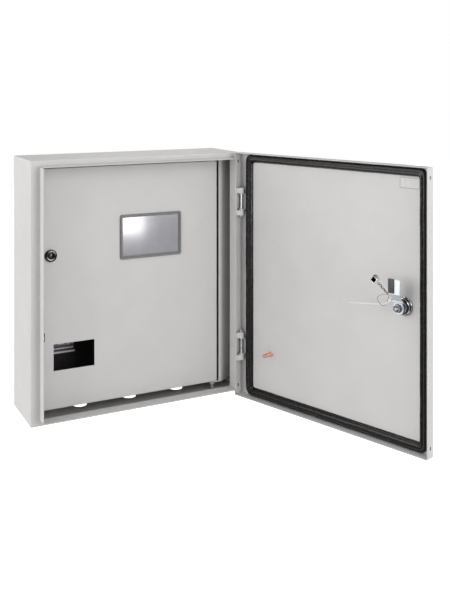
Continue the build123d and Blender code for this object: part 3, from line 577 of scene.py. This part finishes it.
def rounded_loop(half_width, half_height, radius, side_steps=1, corner_steps=8):
    """Points and outward normals around a rounded rectangle, in millimetres. Each side is cut
    into side_steps, and each corner into corner_steps."""
    corners = []
    for quarter in range(4):
        cx = (half_width - radius) * (1 if quarter in (0, 3) else -1)
        cy = (half_height - radius) * (1 if quarter in (0, 1) else -1)
        for i in range(corner_steps + 1):
            angle = math.pi / 2 * (quarter + i / corner_steps)
            normal = (math.cos(angle), math.sin(angle))
            corners.append(((cx + radius * normal[0], cy + radius * normal[1]), normal))
    loop = []
    for i, ((a, normal), (b, _)) in enumerate(zip(corners, corners[1:] + corners[:1])):
        steps = side_steps if i % (corner_steps + 1) == corner_steps else 1
        for k in range(steps):
            t = k / steps
            loop.append(((a[0] + (b[0] - a[0]) * t, a[1] + (b[1] - a[1]) * t), normal))
    return loop


def wander(place, seed):
    """A slow, repeatable wobble between -1 and 1 along a loop."""
    return sum(math.sin(place * rate + seed * 1.7 * rate) for rate in (0.021, 0.053, 0.117, 0.31)) / 4


# ---------------------------------------------------------------- door gasket
GASKET_LOOSE = 7.6  # height of the open bead in millimetres, which the shut door squashes
GASKET_HINGE_WIDTH, GASKET_FREE_WIDTH = 16.3, 12.3
GASKET_TOP_WIDTH, GASKET_BOTTOM_WIDTH = 14.3, 15.9
GASKET_TRIM = 0.2  # the bead starts this far inside its CAD solid
GASKET_OUTER_CORNER, GASKET_INNER_CORNER = 10.0, 4.0
GASKET_STEPS, GASKET_TURN = 120, 12  # points along each side and round each corner
NICK_AT = 2 * (GASKET_STEPS + GASKET_TURN) + GASKET_TURN // 2  # the lower corner by the hinges
NICK_DEPTH, NICK_REACH = 0.4, 4 * MM
GASKET_DOME = (
    (0.0, 0.0), (0.01, 0.26), (0.05, 0.50), (0.11, 0.70), (0.18, 0.82), (0.25, 0.84), (0.31, 0.80),
    (0.38, 0.82), (0.46, 0.90), (0.55, 0.97), (0.64, 1.0), (0.73, 0.97), (0.81, 0.86), (0.87, 0.70),
    (0.92, 0.53), (0.96, 0.38), (0.99, 0.20), (1.0, 0.0),
)  # share of the width from the outside, and share of the height


def gasket_loop(left, right, bottom, top, radius):
    """Points in metres along the outer door, between four edges."""
    centre = ((left + right) / 2, (bottom + top) / 2)
    half_width, half_height = (right - left) / 2 / MM, (top - bottom) / 2 / MM
    loop = rounded_loop(half_width, half_height, radius, GASKET_STEPS, GASKET_TURN)
    return [(centre[0] + x * MM, centre[1] + y * MM) for (x, y), _ in loop]


def make_gasket():
    """A poured foam bead: a dome with a shallow groove, a wavy skin and a nick at its join."""
    s_low, s_high = along("door_gasket", S_DIR)
    base, top = along("door_gasket", T_DIR)
    bottom, crown = low("door_gasket").z, high("door_gasket").z
    trim = GASKET_TRIM * MM
    outer = gasket_loop(s_low + trim, s_high - trim, bottom + trim, crown - trim, GASKET_OUTER_CORNER)
    inner = gasket_loop(
        s_low + GASKET_HINGE_WIDTH * MM, s_high - GASKET_FREE_WIDTH * MM,
        bottom + GASKET_BOTTOM_WIDTH * MM, crown - GASKET_TOP_WIDTH * MM, GASKET_INNER_CORNER,
    )
    rings, place = [], 0.0
    for i, (out_point, in_point) in enumerate(zip(outer, inner)):
        place += math.dist(out_point, outer[i - 1]) / MM if i else 0.0
        nick = NICK_DEPTH * math.exp(-math.dist(in_point, inner[NICK_AT]) ** 2 / NICK_REACH**2)
        ring = []
        for k, (across, rise) in enumerate(GASKET_DOME):
            free = 4 * across * (1 - across)
            share = across + free * 0.035 * wander(place, 5 + k // 6) + 0.02 * wander(place, 2)
            share = min(max(share, 0.0), 1.0)
            wave = 0.95 + 0.05 * wander(place * 1.3, k // 4)
            lift = rise * GASKET_LOOSE * wave * (1 - nick) * MM
            s_at = out_point[0] + (in_point[0] - out_point[0]) * share
            z_at = out_point[1] + (in_point[1] - out_point[1]) * share
            ring.append(S_DIR * s_at + UP * z_at + T_DIR * (base + max(lift, 0)))
        rings.append(ring)
    gasket = Mesh()
    gasket.ring_surface(rings, closed=True)
    piece = add_piece("foamed_gasket", gasket, "door_gasket", 60)
    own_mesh(piece)


# ---------------------------------------------------------------- outer lock
LOCK_PLACE = S_DIR * LOCK_AXIS.dot(S_DIR) + T_DIR * DOOR_T  # lock axis at the door's outer face
LOCK_PLACE.z = LOCK_AXIS.z


def shade_hollows(mesh, hollows):
    """Each vertex's share of painted shade from ring-shaped hollows of
    (radius, half width, depth, half depth).
    """
    shades = []
    for vertex in mesh.verts:
        local = (vertex - LOCK_PLACE) / MM
        radius, depth = math.hypot(local.dot(S_DIR), local.z), local.dot(T_DIR)
        shade = 0.0
        for ring_radius, half_width, ring_depth, half_depth in hollows:
            near = max(abs(radius - ring_radius) / half_width, abs(depth - ring_depth) / half_depth)
            shade = max(shade, 1.0 - near)
        shades.append(min(1.0, 1.6 * shade))
    return shades


def make_lock_housing():
    """Barrel through the door, with a rounded cap outside and a groove near its inner end."""
    barrel = Mesh()
    barrel.turned(LOCK_PLACE, DOOR_TURN, (
        (6.55, -2.2, 0), (7.4, -3.0, 0), (12.4, -3.2, 0), (13.6, -2.7, 0), (14.0, -1.8, 0), (13.9, -0.1, 0),
        (11.0, 0, 0), (11.0, 9.4, 0), (10.5, 9.8, 0), (10.5, 10.6, 0), (10.9, 11.0, 0), (10.9, 15.7, 0),
        (10.2, 16.5, 0), (6.9, 16.5, 0), (6.52, 16.1, 0),
    ), closed=True)
    # Painted shade in the groove and round the bore at the barrel's inner end.
    hollow = shade_hollows(barrel, ((11.0, 1.2, 10.2, 1.6), (6.8, 1.6, 16.4, 0.9)))
    add_piece("outer_lock_barrel", barrel, "lock_housing", 28, hollow)


def make_lock_seal():
    seal = Mesh()
    seal.turned(LOCK_PLACE, DOOR_TURN, (
        (11.05, 1.22, 0), (14.5, 1.22, 0), (14.95, 1.5, 0), (14.5, 1.98, 0), (11.05, 1.98, 0),
    ), closed=True)
    add_piece("outer_lock_seal", seal, "lock_seal")


def make_lock_nut():
    """Hexagon ring nut on a round flange."""
    nut = Mesh()
    nut.turned(LOCK_PLACE, DOOR_TURN, (
        (11.05, 2.0, 0), (14.4, 2.0, 0), (15.1, 2.5, 0), (15.2, 3.2, 0), (14.7, 3.8, 0), (13.9, 4.0, 0),
        (13.5, 4.1, 13.0), (14.6, 4.5, 13.0), (14.9, 5.2, 13.0), (14.9, 7.4, 13.0), (13.9, 8.6, 13.0),
        (12.8, 9.0, 12.9), (11.6, 9.0, 0), (11.05, 8.5, 0),
    ), closed=True, sides=96)
    # Painted shade where the hexagon meets the flange and round the bore at its back.
    hollow = shade_hollows(nut, ((13.6, 1.1, 4.2, 0.8), (11.4, 1.4, 8.9, 1.0)))
    add_piece("outer_lock_ring_nut", nut, "lock_nut", 24, hollow)


def make_lock_spindle():
    """Hollow spindle with a centre pin and two bits outside, and a square and a thread inside."""
    spindle = Mesh()
    spindle.turned(LOCK_PLACE, DOOR_TURN, (
        (1.35, 6.4, 0), (1.45, -1.9, 0), (1.1, -2.3, 0), (0.2, -2.4, 0),
    ), sides=24)
    spindle.turned(LOCK_PLACE, DOOR_TURN, (
        (4.6, 6.5, 0), (4.6, -1.9, 0), (5.0, -2.35, 0), (6.0, -2.4, 0), (6.42, -2.0, 0), (6.42, 17.6, 0),
        (6.0, 18.0, 0), (1.0, 18.0, 0), (1.0, 6.5, 0),
    ), closed=True)
    for side in (-1, 1):
        bit = LOCK_PLACE + (S_DIR * side * 3.9 + T_DIR * 2.4) * MM
        spindle.block(bit, DOOR_TURN, (1.6, 1.9, 8.0), 0.25)
    spindle.block(LOCK_PLACE + T_DIR * 19 * MM, DOOR_TURN, (7.9, 7.9, 2.2), 0.3)
    spindle.threaded(LOCK_PLACE, DOOR_TURN, 3.0, 19.9, 26.9, 1.0, 0.36)
    add_piece("outer_lock_spindle", spindle, "lock_spindle", 28)


PAD_SPREAD = 1.0  # the pad wraps over two of the tongue's edges by this much
PAD_THICK, PAD_SKIRT, SKIRT_THICK = 1.2, 2.2, 0.4


def make_tongue_pad():
    """Dark pad on the tongue's face, with a thin skirt over its left and upper edges."""
    pad = Mesh()
    across, depth = along("tongue_pad", S_DIR), along("tongue_pad", T_DIR)
    width = (across[1] - across[0]) / MM + PAD_SPREAD
    height = (high("tongue_pad").z - low("tongue_pad").z) / MM + PAD_SPREAD
    half_spread = PAD_SPREAD / 2 * MM
    face = S_DIR * ((across[0] + across[1]) / 2 - half_spread) + T_DIR * (depth[0] + depth[1]) / 2
    face.z = middle("tongue_pad").z + half_spread
    pad.block(face, DOOR_TURN, (width, height, PAD_THICK), 0.3)
    edge = face - S_DIR * (width - SKIRT_THICK) / 2 * MM - T_DIR * 1.6 * MM
    pad.block(edge, DOOR_TURN, (SKIRT_THICK, height, PAD_SKIRT), 0.15)
    crown = face + UP * (height - SKIRT_THICK) / 2 * MM - T_DIR * 1.6 * MM
    pad.block(crown, DOOR_TURN, (width, SKIRT_THICK, PAD_SKIRT), 0.15)
    add_piece("tongue_face_pad", pad, "tongue_pad", 30)


def make_tongue_nut():
    """Hexagon nut on a round washer, which holds the tongue on its spindle."""
    nut = Mesh()
    nut.turned(LOCK_PLACE, DOOR_TURN, (
        (3.1, 20.02, 0), (6.9, 20.02, 0), (7.2, 20.3, 0), (7.2, 20.9, 0), (6.9, 21.2, 0), (6.2, 21.22, 6.0),
        (6.85, 21.6, 6.0), (6.93, 22.2, 6.0), (6.93, 24.4, 6.0), (6.5, 25.2, 6.0), (5.8, 25.6, 5.9),
        (3.7, 25.6, 0), (3.1, 25.1, 0),
    ), closed=True, sides=96)
    # Painted shade where the hexagon meets the washer and round the bore at its end.
    hollow = shade_hollows(nut, ((6.3, 0.9, 21.3, 0.6), (3.3, 1.2, 25.3, 1.0)))
    add_piece("tongue_fixing_nut", nut, "tongue_nut", 24, hollow)


# ---------------------------------------------------------------- tie and spare key
TIE_HEAD_S, TIE_HEAD_Z = 339.4, 11.5
TIE_HEAD = (5.6, 4.5, 4.1)
TIE_PAWL = (2.2, 2.9, 0.4)  # the small raised bar on the head
TIE_TAIL_T = 25.0
LOOP_T, LOOP_HALF_S, LOOP_HALF_T = 21.55, 8.2, 3.3
TAIL_HALF_WIDTH, TAIL_TAPER, TAPER_START = 0.95, 0.35, 0.86
RIB_DEPTH = 0.12


def make_cable_tie():
    """A strap round the tongue's neck, a head, and a ribbed tail that tapers at its end."""
    tie = Mesh()
    neck = LOCK_AXIS.dot(S_DIR) / MM - DOOR_S / MM
    loop = rounded_loop(LOOP_HALF_S, LOOP_HALF_T, 1.6, 1, 6)
    path = [on_door(neck + x, TIE_HEAD_Z, LOOP_T + y) for (x, y), _ in loop]
    frames = [(UP, S_DIR * nx + T_DIR * ny) for _, (nx, ny) in loop]
    tie.swept(path, frames, ((-1.3, -0.45), (-1.3, 0.3), (-1.0, 0.5), (1.0, 0.5), (1.3, 0.3), (1.3, -0.45)))
    tie.block(on_door(TIE_HEAD_S, TIE_HEAD_Z, 24.7), DOOR_TURN, TIE_HEAD, 0.7)
    tie.block(on_door(TIE_HEAD_S, TIE_HEAD_Z, 26.75), DOOR_TURN, TIE_PAWL, 0.12)
    tail = smooth_path([
        on_door(s, z, TIE_TAIL_T) for s, z in (
            (TIE_HEAD_S, TIE_HEAD_Z), (334.0, 7.2), (328.5, 3.7), (318.0, 1.9), (300.0, -0.55),
            (280.0, -3.4), (261.4, -5.9),
        )
    ], 24)
    rings, last = [], len(tail) - 1
    for i, point in enumerate(tail):
        run = i / last
        ahead = (tail[min(i + 1, last)] - tail[max(i - 1, 0)]).normalized()
        across = T_DIR.cross(ahead).normalized()
        taper = max(0.0, run - TAPER_START) / (1 - TAPER_START)
        half_width = (TAIL_HALF_WIDTH - TAIL_TAPER * taper) * MM
        rib = RIB_DEPTH * (i % 2) if 0.1 < run < 0.85 else 0.0
        rings.append([
            point + across * x * half_width + T_DIR * y * MM
            for x, y in ((-1, -0.42), (-1, 0.3), (-0.8, 0.5 - rib), (0.8, 0.5 - rib), (1, 0.3), (1, -0.42))
        ])
    tie.ring_surface(rings)
    add_piece("nylon_cable_tie", tie, "cable_tie", 40)


STEM_TURNS, STEM_STEPS = 3.0, 110
WIRE_LOOP_R, STRAND_R = 0.42, 0.62
LOOP_TONE = 0.45  # between the tan strand's 0 and the brown strand's 1


def make_key_wire():
    """A loop of wire round the tie's tail, whose two strands twist into a stem."""
    loop = smooth_path([
        on_door(338.2, 21.4, 28.9), on_door(337.6, 18.0, 26.2), on_door(333.2, 11.0, 22.2),
        on_door(329.4, 3.6, 21.6), on_door(327.4, 0.7, 23.6), on_door(324.2, 2.6, 27.6),
        on_door(319.6, 8.0, 28.5), on_door(318.2, 12.8, 28.4), on_door(322.6, 17.3, 28.4),
        on_door(330.4, 20.4, 28.5), on_door(337.8, 21.6, 29.0),
    ], 10)
    wire = Mesh()
    wire.tube(loop, WIRE_LOOP_R, 10)
    tone = [LOOP_TONE] * len(wire.verts)
    start, end = on_door(338.2, 21.6, 29.0), on_door(322.8, 38.1, 33.0)
    axis = (end - start).normalized()
    side = axis.orthogonal().normalized()
    other = axis.cross(side)
    for strand in (0, 1):
        path = []
        for i in range(STEM_STEPS + 1):
            run = i / STEM_STEPS
            angle = math.tau * (STEM_TURNS * run + strand / 2)
            radius = (0.75 + 1.25 * run) * min(1.0, 5 * run + 0.2) * MM
            out = side * math.cos(angle) + other * math.sin(angle)
            path.append(start + (end - start) * run + out * radius)
        wire.tube(path, STRAND_R, 8)
        tone += [strand] * (len(wire.verts) - len(tone))
    add_piece("twisted_key_wire", wire, "key_wire", 60, tone)


KEY_HALF, KEY_CORNER = 5.2, 0.7
SOCKET_HALF, SOCKET_CORNER = 3.7, 0.5
KEY_SHADED_X, KEY_SHADE = -2.5, 0.85  # the key's side beyond this is painted in shade


def make_key_bit():
    """A square socket key: a blind socket in a rounded block, with painted shade inside the socket
    and on one side.
    """
    key = Mesh()
    centre = middle("key_bit")
    lean = (S_DIR * 0.79 - UP * 0.61).normalized()
    turn = Matrix((lean, T_DIR.cross(lean), T_DIR)).transposed()
    outer = rounded_loop(KEY_HALF, KEY_HALF, KEY_CORNER, 1, 4)
    socket = rounded_loop(SOCKET_HALF, SOCKET_HALF, SOCKET_CORNER, 1, 4)
    rings, hollow = [], []
    # Painted shade: the socket is painted near black inside, fading out at its mouth.
    for grow, depth, dark in ((0.98, -1.6, 1), (1.0, 3.6, 1), (1.03, 4.3, 0.8), (1.08, 4.45, 0)):
        rings.append([centre + turn @ (Vector((x * grow, y * grow, depth)) * MM) for (x, y), _ in socket])
        hollow += [dark] * len(socket)
    # Painted shade on the block's side beyond KEY_SHADED_X.
    for grow, depth in ((0.95, 4.45), (1.0, 4.0), (1.0, -3.9), (0.93, -4.45)):
        rings.append([centre + turn @ (Vector((x * grow, y * grow, depth)) * MM) for (x, y), _ in outer])
        hollow += [KEY_SHADE if x < KEY_SHADED_X else 0 for (x, y), _ in outer]
    key.ring_surface(rings)
    add_piece("square_socket_key", key, "key_bit", 30, hollow)


# ---------------------------------------------------------------- window
BEZEL_STEPS = (
    (0.0, 0.0), (0.15, 0.55), (0.6, 0.85), (1.6, 0.98), (2.6, 1.0), (3.1, 0.93), (3.3, 0.72),
    (3.7, 0.66), (4.2, 0.72), (4.7, 0.70), (5.0, 0.50), (5.3, 0.22), (5.4, 0.0),
)  # inset from the outside in millimetres, and share of the height


def make_window():
    """A bezel that steps down to the pane in two ribs."""
    base, front = high("window_bezel").y, low("window_bezel").y
    centre = middle("window_bezel")
    size = high("window_bezel") - low("window_bezel")
    half_x, half_z = size.x / 2 / MM, size.z / 2 / MM
    rise = (base - front) / MM
    rings = []
    for inset, lift in BEZEL_STEPS:
        loop = rounded_loop(half_x - inset, half_z - inset, max(4.0 - inset * 0.45, 1.2))
        rings.append([
            Vector((centre.x + x * MM, base - rise * lift * MM, centre.z + z * MM)) for (x, z), _ in loop
        ])
    bezel = Mesh()
    bezel.ring_surface(rings, closed=True)
    add_piece("stepped_bezel", bezel, "window_bezel", 30)


# ---------------------------------------------------------------- inner lock
INNER_AXIS = Vector(JOINTS["inner_lock_turn"]["pos_m"])
INNER_PLACE = Vector((INNER_AXIS.x, low("inner_door_panel").y, INNER_AXIS.z))
INNER_TURN = Matrix(((1, 0, 0), (0, 0, 1), (0, -1, 0))).transposed()
# Painted reflection: shares of near black painted on the collar's rim and ring and on the insert and its ridge,
# for the dark surroundings that the chrome mirrors.
RIM_R, RIM_SHADE, COLLAR_SHADE = 8.5, 0.92, 0.62
RIDGE_HALF, RIDGE_SHADE, INSERT_SHADE = 1.2, 0.55, 0.85


def make_inner_collar():
    """Collar with a dark rim round a lighter ring, both darkened as painted reflection."""
    collar = Mesh()
    collar.turned(INNER_PLACE, INNER_TURN, (
        (5.15, 3.2, 0), (5.9, 4.3, 0), (7.0, 4.6, 0), (9.0, 4.4, 0), (10.1, 3.9, 0), (10.6, 2.9, 0),
        (10.6, 0.4, 0), (10.4, 0.02, 0), (8.0, 0, 0), (8.0, -13.6, 0), (7.6, -14.0, 0), (5.15, -14.0, 0),
    ), closed=True, sides=64)
    shades = []
    for vertex in collar.verts:
        radius = math.hypot(vertex.x - INNER_AXIS.x, vertex.z - INNER_AXIS.z) / MM
        shades.append(COLLAR_SHADE if radius < RIM_R else RIM_SHADE)
    add_piece("inner_lock_collar", collar, "inner_lock_housing", 26, shades)


def make_inner_insert():
    """Round insert with an upright ridge in front and a square for the cam behind."""
    insert = Mesh()
    insert.turned(INNER_PLACE, INNER_TURN, (
        (0.3, 1.4, 0), (4.2, 1.4, 0), (4.95, 0.9, 0), (4.95, -14.9, 0), (0.3, -14.9, 0),
    ), sides=40)
    for depth, size, bevel in ((2.4, (1.7, 7.4, 2.6), 0.5), (-15.9, (6.4, 6.4, 2.0), 0.2)):
        insert.block(INNER_PLACE + INNER_TURN @ (Vector((0, 0, depth)) * MM), INNER_TURN, size, bevel)
    # Painted reflection: the ridge is painted less dark than the rest of the insert.
    shades = [
        RIDGE_SHADE if abs(vertex.x - INNER_AXIS.x) < RIDGE_HALF * MM else INSERT_SHADE
        for vertex in insert.verts
    ]
    add_piece("inner_lock_insert", insert, "inner_lock_spindle", 28, shades)


# ---------------------------------------------------------------- door stud and data plate
def make_door_stud():
    """Threaded stud on a small weld foot."""
    stud = Mesh()
    lowest, highest = along("door_earth_stud", S_DIR)
    centre = S_DIR * (lowest + highest) / 2 + T_DIR * along("door_earth_stud", T_DIR)[0]
    centre.z = middle("door_earth_stud").z
    stud.turned(centre, DOOR_TURN, (
        (3.0, 0.0, 0), (4.2, 0.02, 0), (4.2, 0.7, 0), (3.7, 1.0, 0), (2.75, 1.3, 0), (2.6, 2.4, 0),
    ), sides=36)
    stud.threaded(centre, DOOR_TURN, 3.0, 2.3, 23.4, 1.0, 0.38)
    add_piece("copper_earth_stud", stud, "door_earth_stud", 24)


PLATE_GROW_S, PLATE_GROW_Z = 1.2, 1.4  # the plate's rim stands this far outside its CAD solid
PLATE_STEPS = (
    (0.0, 0.02, 1.0), (0.1, 0.5, 0.6), (0.35, 0.9, 0.0), (0.8, 1.0, 0.0), (1.3, 0.8, 0.2),
    (1.6, 0.25, 0.9), (2.0, 0.2, 0.9), (2.4, 0.45, 0.1), (3.2, 0.5, 0.0),
)  # inset in millimetres, share of the height, and how deep in a groove


def make_data_plate():
    """A blank plate: a rounded rim with a groove inside it, round a flat field."""
    across = along("data_plate", S_DIR)
    base, front = along("data_plate", T_DIR)
    half_s = (across[1] - across[0]) / 2 / MM + PLATE_GROW_S
    half_z = (high("data_plate").z - low("data_plate").z) / 2 / MM + PLATE_GROW_Z
    centre = S_DIR * (across[0] + across[1]) / 2 + T_DIR * base
    centre.z = middle("data_plate").z
    rise = (front - base) / MM
    rings, grooves = [], []
    for inset, lift, groove in PLATE_STEPS:
        loop = rounded_loop(half_s - inset, half_z - inset, max(1.2 - inset * 0.3, 0.4), 1, 6)
        rings.append([centre + (S_DIR * x + UP * z + T_DIR * rise * lift) * MM for (x, z), _ in loop])
        grooves += [groove] * len(loop)
    plate = Mesh()
    plate.ring_surface(rings)
    add_piece("embossed_data_plate", plate, "data_plate", 30, grooves)


FOLD_ANGLE = math.radians(40)


def round_folds(node, radius):
    """Round a node's sharp folds by a bevel of this radius."""
    bevel = NODES[node].modifiers.new("folds", "BEVEL")
    bevel.width = radius
    bevel.segments = 3
    bevel.limit_method = "ANGLE"
    bevel.angle_limit = FOLD_ANGLE


make_gasket()
make_lock_housing()
make_lock_seal()
make_lock_nut()
make_lock_spindle()
make_tongue_pad()
make_tongue_nut()
make_cable_tie()
make_key_wire()
make_key_bit()
make_window()
make_inner_collar()
make_inner_insert()
make_door_stud()
make_data_plate()
round_folds("din_rail", 0.45 * MM)
round_folds("lock_tongue", 0.3 * MM)

# ---------------------------------------------------------------- stage, camera and light
SCENE = bpy.context.scene
SCENE.view_settings.view_transform = "Standard"
CENTRE = (0, -0.1, 0)
FLOOR_HALF, FLOOR_LEVEL = 12.0, -1.3


def stage_floor():
    """A plain pale floor, well below the hanging cabinet."""
    mesh = bpy.data.meshes.new("floor")
    corners = [(FLOOR_HALF * x, FLOOR_HALF * y, 0) for x, y in ((-1, -1), (1, -1), (1, 1), (-1, 1))]
    mesh.from_pydata(corners, [], [(0, 1, 2, 3)])
    floor = bpy.data.objects.new("floor", mesh)
    floor.location.z = FLOOR_LEVEL
    SCENE.collection.objects.link(floor)
    s = Shader("floor")
    s.set(Base_Color=s.mix(s.noise(2, 2), grey(0.93), grey(0.96)), Roughness=0.9)
    s.surface.inputs["Emission Color"].default_value = (1, 1, 1, 1)
    s.surface.inputs["Emission Strength"].default_value = 0.8
    mesh.materials.append(s.material)
    floor.visible_diffuse = False
    floor.visible_glossy = False


def add_light(name, place, aim, size, power):
    """A rectangular soft box that faces aim."""
    data = bpy.data.lights.new(name, "AREA")
    data.shape = "RECTANGLE"
    data.size, data.size_y = size
    data.energy = power
    light = bpy.data.objects.new(name, data)
    light.location = place
    light.rotation_euler = (Vector(aim) - Vector(place)).to_track_quat("-Z", "Y").to_euler()
    SCENE.collection.objects.link(light)


def add_world(strength):
    """White surroundings that light the cabinet more softly than they look, and that
    polished metal sees as bright screens with dark gaps between them."""
    world = bpy.data.worlds.new("studio")
    nodes = Nodes(world)
    toward = nodes.add("ShaderNodeTexCoord").outputs["Generated"]
    screens = nodes.add("ShaderNodeTexNoise")
    nodes.feed(screens.inputs["Vector"], toward)
    nodes.feed(screens.inputs["Scale"], 2.6)
    nodes.feed(screens.inputs["Detail"], 0.0)
    bright = nodes.span(screens.outputs["Fac"], (0.49, 0.55), (0.0, 1.3))
    aim = nodes.add("ShaderNodeVectorMath", operation="DOT_PRODUCT")
    nodes.feed(aim.inputs[0], toward)
    nodes.feed(aim.inputs[1], Vector((0.37, -0.91, -0.19)).normalized())
    dim_patch = nodes.span(aim.outputs["Value"], (0.90, 0.96), (1.0, 0.22))
    rays = nodes.add("ShaderNodeLightPath")
    lit = nodes.blend(rays.outputs["Is Glossy Ray"], strength, nodes.math("MULTIPLY", bright, dim_patch))
    seen = nodes.blend(rays.outputs["Is Camera Ray"], lit, 1.0)
    sky = nodes.tree.nodes["Background"]
    nodes.feed(sky.inputs["Color"], (1, 1, 1, 1))
    nodes.feed(sky.inputs["Strength"], seen)
    SCENE.world = world


LENS = 51.40
VIEW_DOWN, VIEW_RIGHT = 0.25487, 0.02101  # frame's middle off the lens axis, as shares of the distance


def add_camera():
    """Level view from the left and above, as in the photo. A lens shift takes the frame down and
    a little to the right, so that upright edges stay parallel."""
    data = bpy.data.cameras.new("camera")
    data.lens = LENS
    data.shift_x = VIEW_RIGHT * LENS / data.sensor_width
    data.shift_y = -VIEW_DOWN * LENS / data.sensor_width
    camera = bpy.data.objects.new("camera", data)
    camera.location = (-0.579163, -1.536638, 0.358201)
    camera.rotation_euler = (math.radians(90), 0, -0.463)
    SCENE.collection.objects.link(camera)
    SCENE.camera = camera


stage_floor()
add_world(0.62)
add_light("left", (-2.45, -0.55, 0.55), CENTRE, (1.6, 2.0), 29)
add_light("left_behind", (-2.4, 0.9, 0.5), CENTRE, (1.2, 2.0), 20)
add_light("front_right", (0.8, -2.4, 0.7), CENTRE, (1.6, 2.0), 23)
add_light("right", (2.5, -0.55, 0.7), CENTRE, (1.2, 2.0), 13)
add_light("top_behind", (-0.2, 1.0, 2.4), CENTRE, (2.0, 1.2), 9)
add_light("pane_glint", (0.52, -1.95, -0.06), middle("window_pane"), (0.46, 0.40), 3.4)
add_camera()
